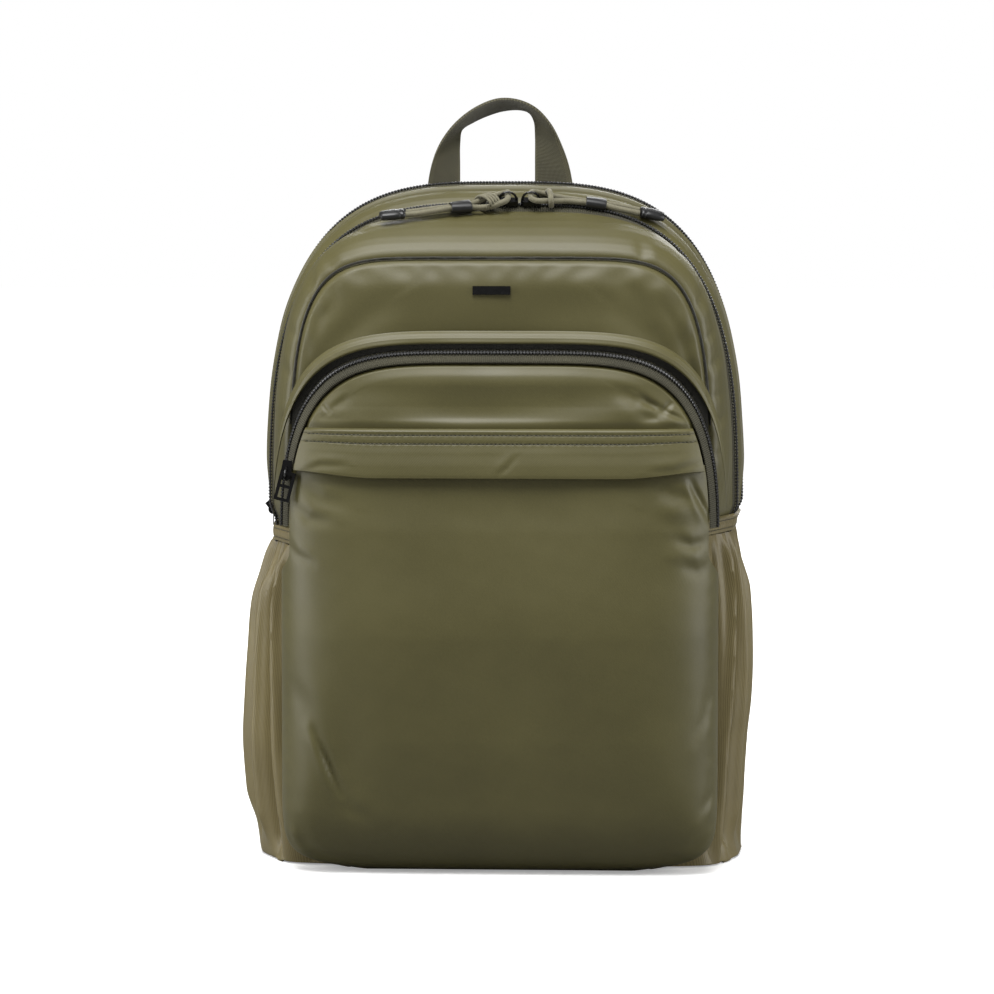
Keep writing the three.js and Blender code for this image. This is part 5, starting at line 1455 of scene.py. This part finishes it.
# Folds of a side pocket: share from front to back, drift of the share with height, width, rise, low, high
SIDE_FOLDS = {
    "left": [
        (0.13, 0.10, 0.035, 3.2, 0.0, 0.97), (0.22, 0.09, 0.03, -3.0, 0.0, 0.95),
        (0.31, 0.06, 0.035, 2.6, 0.05, 0.9), (0.41, 0.02, 0.035, -2.4, 0.05, 1.0),
        (0.5, -0.04, 0.04, 2.2, 0.1, 1.0), (0.6, 0.05, 0.04, -1.9, 0.0, 0.85),
        (0.72, -0.04, 0.045, 2.0, 0.1, 1.0), (0.84, 0.04, 0.045, -1.4, 0.0, 0.8),
        (0.07, 0.03, 0.02, -2.2, 0.3, 1.0),
    ],
    "right": [
        (0.12, 0.06, 0.03, -3.0, 0.15, 1.0), (0.2, 0.10, 0.03, 3.0, 0.0, 1.0),
        (0.29, 0.05, 0.03, -2.6, 0.0, 0.9), (0.38, -0.03, 0.035, 2.4, 0.05, 1.0),
        (0.48, 0.05, 0.035, -2.2, 0.1, 1.0), (0.6, -0.05, 0.04, 2.0, 0.0, 0.9),
        (0.72, 0.03, 0.045, -1.8, 0.0, 0.95), (0.84, 0.02, 0.04, 1.4, 0.1, 0.9),
        (0.06, 0.02, 0.02, 1.6, 0.1, 0.8),
    ],
}
GATHERS = 15
FOLD_STRENGTH = 1.9
POCKET_ROWS = 110
POCKET_COLUMNS = 96
HEM_ROWS = 22
HEM_COLUMNS = 260
# How much wider than it stands the gathered cloth is when flat
FLAT_EASE = 1.02
# The right pocket's hem sits higher than the left one's
HEM_LIFT = {"left": 0, "right": 7.5}


def make_side_pocket(sign, label, column):
    heights, bulges = spread_rows(column, POCKET_ROWS)
    share = np.linspace(0, 1, POCKET_COLUMNS)[None, :]
    z = np.clip(heights[:, None] * SIDE_POCKET_HEIGHT, 0.6, None)
    z = z + HEM_LIFT[label] * smooth((z / SIDE_POCKET_HEIGHT - 0.5) / 0.45)
    order = np.linspace(0, 1, POCKET_ROWS)[:, None]
    level = np.clip(z / SIDE_POCKET_HEIGHT, 0, 1)
    belly = np.sin(math.pi * share) ** 0.7
    folds = np.zeros((POCKET_ROWS, POCKET_COLUMNS))
    for at, drift, width, rise, low, high in SIDE_FOLDS[label]:
        reach = smooth((level - low) / 0.12 + 0.2) * smooth((high - level) / 0.12 + 0.2)
        shaped = bell(share, at + drift * (level - 0.5), width * (1.1 - 0.45 * level))
        folds += FOLD_STRENGTH * rise * shaped * reach
    turn = share * GATHERS * 2 * math.pi + 1.3 * np.sin(share * 19)
    gather = 0.75 * np.sin(turn) * smooth((level - 0.62) / 0.33)
    folds = (folds + gather) * np.minimum(belly * 1.8, 1) * smooth(order / 0.1)
    folds = folds + 0.35 * ripple(share * 110, z, 61 + column, 36) * belly
    clear = SIDE_POCKET_BULGE * bulges[:, None] * belly
    grid = side_point(sign, share, z, GAP + THIN_CLOTH + clear)
    outward = grid_normals(grid, (0, 0, 110)) * np.array([1, 1, 0])
    grid = grid + outward * np.maximum(folds, -clear)[:, :, None]
    piece = wall("side_pocket_cloth_" + label, grid, THIN_CLOTH, STRETCH, (0, 0, 110), crisp=60)
    dress(piece, "stretch", "side_pocket_" + label)
    hem = make_hem(sign, label)
    width = np.linalg.norm(np.diff(grid, axis=1), axis=2).sum(axis=1).mean() * FLAT_EASE


def make_hem(sign, label):
    """Elastic hem: a thick band whose cloth is gathered between two rows of stitches."""
    heights = np.linspace(SIDE_POCKET_HEIGHT - HEM_HEIGHT + GAP, SIDE_POCKET_HEIGHT, HEM_ROWS)
    z = HEM_LIFT[label] + heights[:, None]
    share = np.linspace(0, 1, HEM_COLUMNS)[None, :]
    across = np.linspace(0, 1, HEM_ROWS)[:, None]
    belly = np.sin(math.pi * share) ** 0.7
    rounded = np.sin(math.pi * np.clip(across, 0.04, 0.96)) ** 0.4
    gather = 0.28 * np.sin(share * 46 * 2 * math.pi + 2 * np.sin(share * 31)) * np.sin(math.pi * across)
    rows = 0.35 * (bell(across, 0.22, 0.06) + bell(across, 0.78, 0.06))
    stand = GAP + HEM_THICKNESS * (0.45 + 0.55 * rounded) + gather - rows
    grid = side_point(sign, share, z, stand + SIDE_POCKET_BULGE * HEM_BULGE * belly)
    piece = wall("elastic_hem_" + label, grid, HEM_THICKNESS * 0.9, STRETCH, (0, 0, 210), crisp=60)
    normals = grid_normals(grid, (0, 0, 210))
    seams = [(grid[k, 3:-3] + normals[k, 3:-3] * 0.25, normals[k, 3:-3]) for k in (5, 17)]
    stitches("hem_stitching_" + label, seams, pitch=2.4, length=1.6, width=0.55, slot_name="stretch")
    return dress(piece, "stretch", "pocket_hem_" + label)


make_side_pocket(-1, "left", 1)
make_side_pocket(1, "right", 2)

# Haul handle

HANDLE_FACE_Y = BACK_OUTER_Y + GAP + WEBBING / 2
# Columns: outer edge x and z, inner edge x and z, and how far the webbing has turned flat
HANDLE_ROWS = [
    (-54, 402, -32, 402, 0), (-54, 424, -32, 428, 0), (-53.2, 441, -32, 450, 0.03),
    (-49, 457, -32, 466, 0.2), (-41.5, 470.5, -30.8, 475, 0.55), (-31.5, 481.5, -24, 479.8, 0.85),
    (-19, 490, -13.5, 484.6, 1), (-6, 494.6, -3, 487.6, 1), (7, 493.8, 7.5, 488.2, 1),
    (18.5, 488.6, 13.8, 486.2, 0.85), (28, 478.6, 17.2, 480.5, 0.55), (35, 466, 18, 470, 0.2),
    (40.2, 452.5, 18, 454, 0.03), (43.2, 438, 18, 436, 0), (44, 424, 18, 424, 0), (44, 402, 18, 402, 0),
]


def handle_edges():
    rows = np.array(HANDLE_ROWS, float)
    edges = []
    for x, z, swing in ((0, 1, -0.42), (2, 3, 0.52)):
        y = HANDLE_FACE_Y + rows[:, 4] * HANDLE_WEB * swing
        path = centripetal(np.stack([rows[:, x], y, rows[:, z]], axis=1), 16)
        edges.append(path)
    return edges


EDGE_ROUND = 0.35


def two_faced(name, middle, material):
    """Webbing from the grid of its middle surface, thinner at its two long edges."""
    normals = grid_normals(middle, (0, -400, 0))
    across = np.clip(np.linspace(0, 1, len(middle)), 0.02, 0.98)
    half = WEBBING / 2 * (1 - EDGE_ROUND + EDGE_ROUND * np.sin(math.pi * across) ** 0.3)
    shift = normals * half[:, None, None]
    return slab(name, middle + shift, middle - shift, material, crisp=70)


def make_handle():
    outer, inner = handle_edges()
    across = np.linspace(0, 1, 21)[:, None, None]
    middle = lerp(outer[None], inner[None], across)
    piece = two_faced("carry_webbing", middle, WEB)
    dress(piece, "webbing", "haul_handle")


make_handle()

# Back: padded panel, yoke, padded straps, webbing and anchors


SPINE_WIDTH = 13
# Heights of the channels across the padding
BACK_CHANNELS = (110, 190, 270, 345)


def make_back_panel():
    outline = body_outline(0)
    x, z = fill_sides(*outline_sides(outline, 45, 100), 90, 80)
    r = np.minimum(outline.radius(x, z), 1)
    face = BACK_FACE_Y + GAP
    edge = lerp(0.45, 1, np.sqrt(np.maximum(1 - r**12, 0)))
    spine = 5 * bell(x, 0, SPINE_WIDTH) * np.maximum(1 - r**4, 0)
    channels = sum(1.6 * bell(z, at, 3.2) for at in BACK_CHANNELS)
    channels = channels * (1 - bell(x, 0, SPINE_WIDTH)) * np.maximum(1 - r**6, 0)
    welt = 1.2 * bell(r, 0.93, 0.012)
    y = face + BACK_PAD * edge - spine - channels - welt + 0.25 * ripple(x, z, 71, 40) * (1 - r)
    y = np.minimum(y, BACK_OUTER_Y)
    outer = np.stack([x, y, z], axis=2)
    inner = np.stack([x, face + 0 * y, z], axis=2)
    piece = slab("back_pad", outer, inner, NYLON_DARK)
    dress(piece, "nylon_dark", "back_panel")


REARWARD = np.array([[0, 1.0, 0]])
YOKE_HALF_WIDTH = 84
YOKE_FOOT = 394
YOKE_TOP = 424
# Across the yoke: how far it stands off, to let the handle and straps run under it
YOKE_SHAPE = [(-1, 0), (-0.8, 0.8), (-0.3, 1), (0.3, 1), (0.8, 0.8), (1, 0)]


def make_yoke():
    across = np.linspace(-1, 1, 90)[None, :]
    share = np.linspace(0, 1, 24)[:, None]
    z = lerp(YOKE_FOOT, YOKE_TOP, share)
    near = BACK_OUTER_Y + GAP
    stand = read_table(YOKE_SHAPE, across) * (WEBBING + GAP * 2)
    rim = 3 * (0.55 + 0.45 * np.sin(math.pi * np.clip(share, 0.03, 0.97)) ** 0.35)
    groove = 0.35 * (bell(share, 0.12, 0.03) + bell(share, 0.88, 0.03))
    outer = np.stack([YOKE_HALF_WIDTH * across + 0 * z, near + stand + rim - groove, z + 0 * across], axis=2)
    inner = np.stack([YOKE_HALF_WIDTH * across + 0 * z, near + stand + 0 * rim, z + 0 * across], axis=2)
    dress(slab("yoke_cloth", outer, inner, NYLON_DARK), "nylon_dark", "strap_yoke")
    rows = []
    for k in (3, 20):
        line = outer[k, 2:-2]
        rows.append((line + np.array([0, 0.15, 0]), np.repeat(REARWARD, len(line), axis=0)))
    stitches("yoke_stitching", rows, pitch=3, length=2.2, width=0.7, slot_name="nylon_dark")


# Shoulder straps: drop, across, stand-off, width, thickness
STRAP_ROWS = [
    (0, 0.3, 0.04, 0.92, 0.5), (0.06, 0.31, 0.25, 0.97, 0.85), (0.18, 0.34, 0.7, 1, 1),
    (0.34, 0.38, 0.97, 1, 1), (0.5, 0.43, 1, 0.97, 1), (0.68, 0.49, 0.85, 0.88, 1),
    (0.84, 0.54, 0.6, 0.76, 0.95), (0.96, 0.565, 0.42, 0.64, 0.75), (1, 0.57, 0.38, 0.52, 0.5),
]
STRAP_WIDTH = 68
STRAP_THICKNESS = 12
STRAP_STANDOFF = 22
STRAP_LENGTH = 236
STRAP_RINGS = 90
STRAP_SIDES = 56
STRAP_TOP = YOKE_FOOT - GAP
_, END_ACROSS, END_STANDOFF, _, END_THICKNESS = STRAP_ROWS[-1]
STRAP_END_X = BAG_WIDTH / 2 * END_ACROSS
STRAP_END_Y = BACK_OUTER_Y + STRAP_STANDOFF * END_STANDOFF + STRAP_THICKNESS * END_THICKNESS / 2
STRAP_END_Z = STRAP_TOP - STRAP_LENGTH


def make_strap(sign, label):
    drop = np.linspace(0, 1, STRAP_RINGS)
    drops, *columns = zip(*STRAP_ROWS)
    place, stand, width, thick = (read_table(list(zip(drops, column)), drop) for column in columns)
    angle = np.linspace(0, 2 * math.pi, STRAP_SIDES, endpoint=False)[None, :]
    depth = STRAP_THICKNESS * thick[:, None]
    half = STRAP_WIDTH * width[:, None] / 2
    wide = power(np.cos(angle), 0.7)
    bound = 0.28 * bell(np.abs(wide), 0.86, 0.035)
    mesh_channel = 0.07 * np.cos(drop[:, None] * 2 * math.pi * 14) * (np.abs(wide) < 0.8)
    out = depth / 2 * power(np.sin(angle), 0.55) * (1 - bound - mesh_channel)
    x = sign * (BAG_WIDTH / 2 * place[:, None] + half * wide)
    y = BACK_OUTER_Y + GAP + STRAP_STANDOFF * stand[:, None] + depth / 2 + out
    z = np.broadcast_to((STRAP_TOP - STRAP_LENGTH * drop)[:, None], x.shape)
    points = np.stack([x, y, z], axis=2).reshape(-1, 3)
    uv = np.stack([half * wide + 0 * z, z], axis=2).reshape(-1, 2)
    faces = ring_faces(STRAP_RINGS, STRAP_SIDES)
    piece = link_mesh("padded_strap_" + label, points, faces, NYLON_DARK, uv, crisp=70)
    dress(piece, "nylon_dark", "shoulder_strap_" + label)


BUCKLE_TOP = STRAP_END_Z - GAP
BUCKLE_BAR = 4
BUCKLE_SLOT = 6
ANCHOR_X = 138
ANCHOR_Z = 34


def ribbon_grid(points, widths, width):
    """A ribbon's middle surface along a path, with the direction of its width at each point."""
    path = centripetal(points, 12)
    at = np.linspace(0, len(points) - 1, len(path))
    direction = unit(between(at, np.arange(len(points)), np.array(widths, float)))
    across = np.linspace(-0.5, 0.5, 13)[:, None, None]
    return path[None] + direction[None] * across * width


def make_strap_webbing(sign, label, bow):
    x, y = STRAP_END_X, STRAP_END_Y
    bar = BUCKLE_TOP - BUCKLE_BAR - BUCKLE_SLOT
    clear = 2 + WEBBING + GAP
    out_x = BAG_WIDTH / 2 * bow
    flat_y = BACK_OUTER_Y + GAP + WEBBING
    flat, slanted, returning = (1, 0, 0), (0.75, 0, 0.66), (0.85, 0, -0.5)
    rows = [
        ((x, y + clear + 1, bar - 42), flat), ((x, y + clear + 0.6, bar - 20), flat),
        ((x, y + clear, bar - 4), flat), ((x, y + 0.95 * clear, bar), flat),
        ((x, y, bar + BUCKLE_SLOT * 0.55), flat), ((x, y - 0.95 * clear, bar), flat),
        ((x, y - clear, bar - 4), flat), ((x, y - clear - 0.6, bar - 20), flat),
        ((lerp(x, out_x, 0.14), y - clear, bar - 38), slanted),
        ((lerp(x, out_x, 0.6), lerp(y, flat_y, 0.3), bar - 57), slanted),
        ((lerp(x, out_x, 0.92), lerp(y, flat_y, 0.5), bar - 84), flat),
        ((lerp(out_x, ANCHOR_X, 0.6), flat_y + 4.5, ANCHOR_Z + 12), returning),
        ((ANCHOR_X, flat_y + 2, ANCHOR_Z - 4), returning),
    ]
    points = [(sign * px, py, pz) for (px, py, pz), _ in rows]
    widths = [(sign * wx, wy, wz) for _, (wx, wy, wz) in rows]
    middle = ribbon_grid(points, widths, STRAP_WEB)
    piece = two_faced("lower_webbing_" + label, middle, STRAP_WEBBING)
    dress(piece, "webbing", "strap_webbing_" + label)


def make_anchor(sign, label):
    """A sewn cloth patch over the end of the lower webbing."""
    share = np.linspace(0, 1, 25)[None, :]
    up = np.linspace(0, 1, 17)[:, None]
    right = lerp(15, 7.5, up)
    x = sign * (ANCHOR_X - 10) + lerp(-15, right, share)
    z = lerp(ANCHOR_Z - 10, ANCHOR_Z + 10, up) + 0 * share
    rim_across = np.sin(math.pi * np.clip(share, 0.03, 0.97))
    rim_up = np.sin(math.pi * np.clip(up, 0.04, 0.96))
    rim = np.minimum(rim_across, rim_up) ** 0.3
    near = BACK_OUTER_Y + GAP
    outer = np.stack([x, near + 2 * (0.6 + 0.4 * rim), z], axis=2)
    inner = np.stack([x, near + 0 * z, z], axis=2)
    patch = slab("anchor_patch_" + label, outer, inner, NYLON_DARK)
    dress(patch, "nylon_dark", "strap_anchor_" + label)
    rows = [(line, np.repeat(REARWARD, len(line), axis=0)) for line in (outer[2, 2:-2], outer[-3, 2:-2])]
    stitches("anchor_stitching_" + label, rows, pitch=2.8, length=2, width=0.7, slot_name="nylon_dark")


make_back_panel()
make_yoke()
for sign, label, bow in ((-1, "left", 1.03), (1, "right", 0.92)):
    make_strap(sign, label)
    make_strap_webbing(sign, label, bow)
    make_anchor(sign, label)

# Hard parts that keep the solid model's shape

HARD_NODES = {
    "main_slider_left": (BLACK_METAL, 0.5),
    "main_slider_right": (BLACK_METAL, 0.5),
    "rear_slider": (BLACK_METAL, 0.5),
    "pocket_slider": (BLACK_METAL, 0.5),
    "pull_tab": (BLACK_METAL, 0.35),
    "badge_bar": (BLACK_METAL, 0.35),
    "strap_buckle_left": (BLACK_PLASTIC, 0.9),
    "strap_buckle_right": (BLACK_PLASTIC, 0.9),
}


def finish_hard_parts():
    for name, (material, rounding) in HARD_NODES.items():
        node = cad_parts[name]
        for slot_place in node.material_slots:
            slot_place.material = material
        bevel = node.modifiers.new("rounded_edges", "BEVEL")
        bevel.width = rounding * MM
        bevel.segments = 3
        bevel.limit_method = "ANGLE"
        bevel.angle_limit = math.radians(35)


finish_hard_parts()
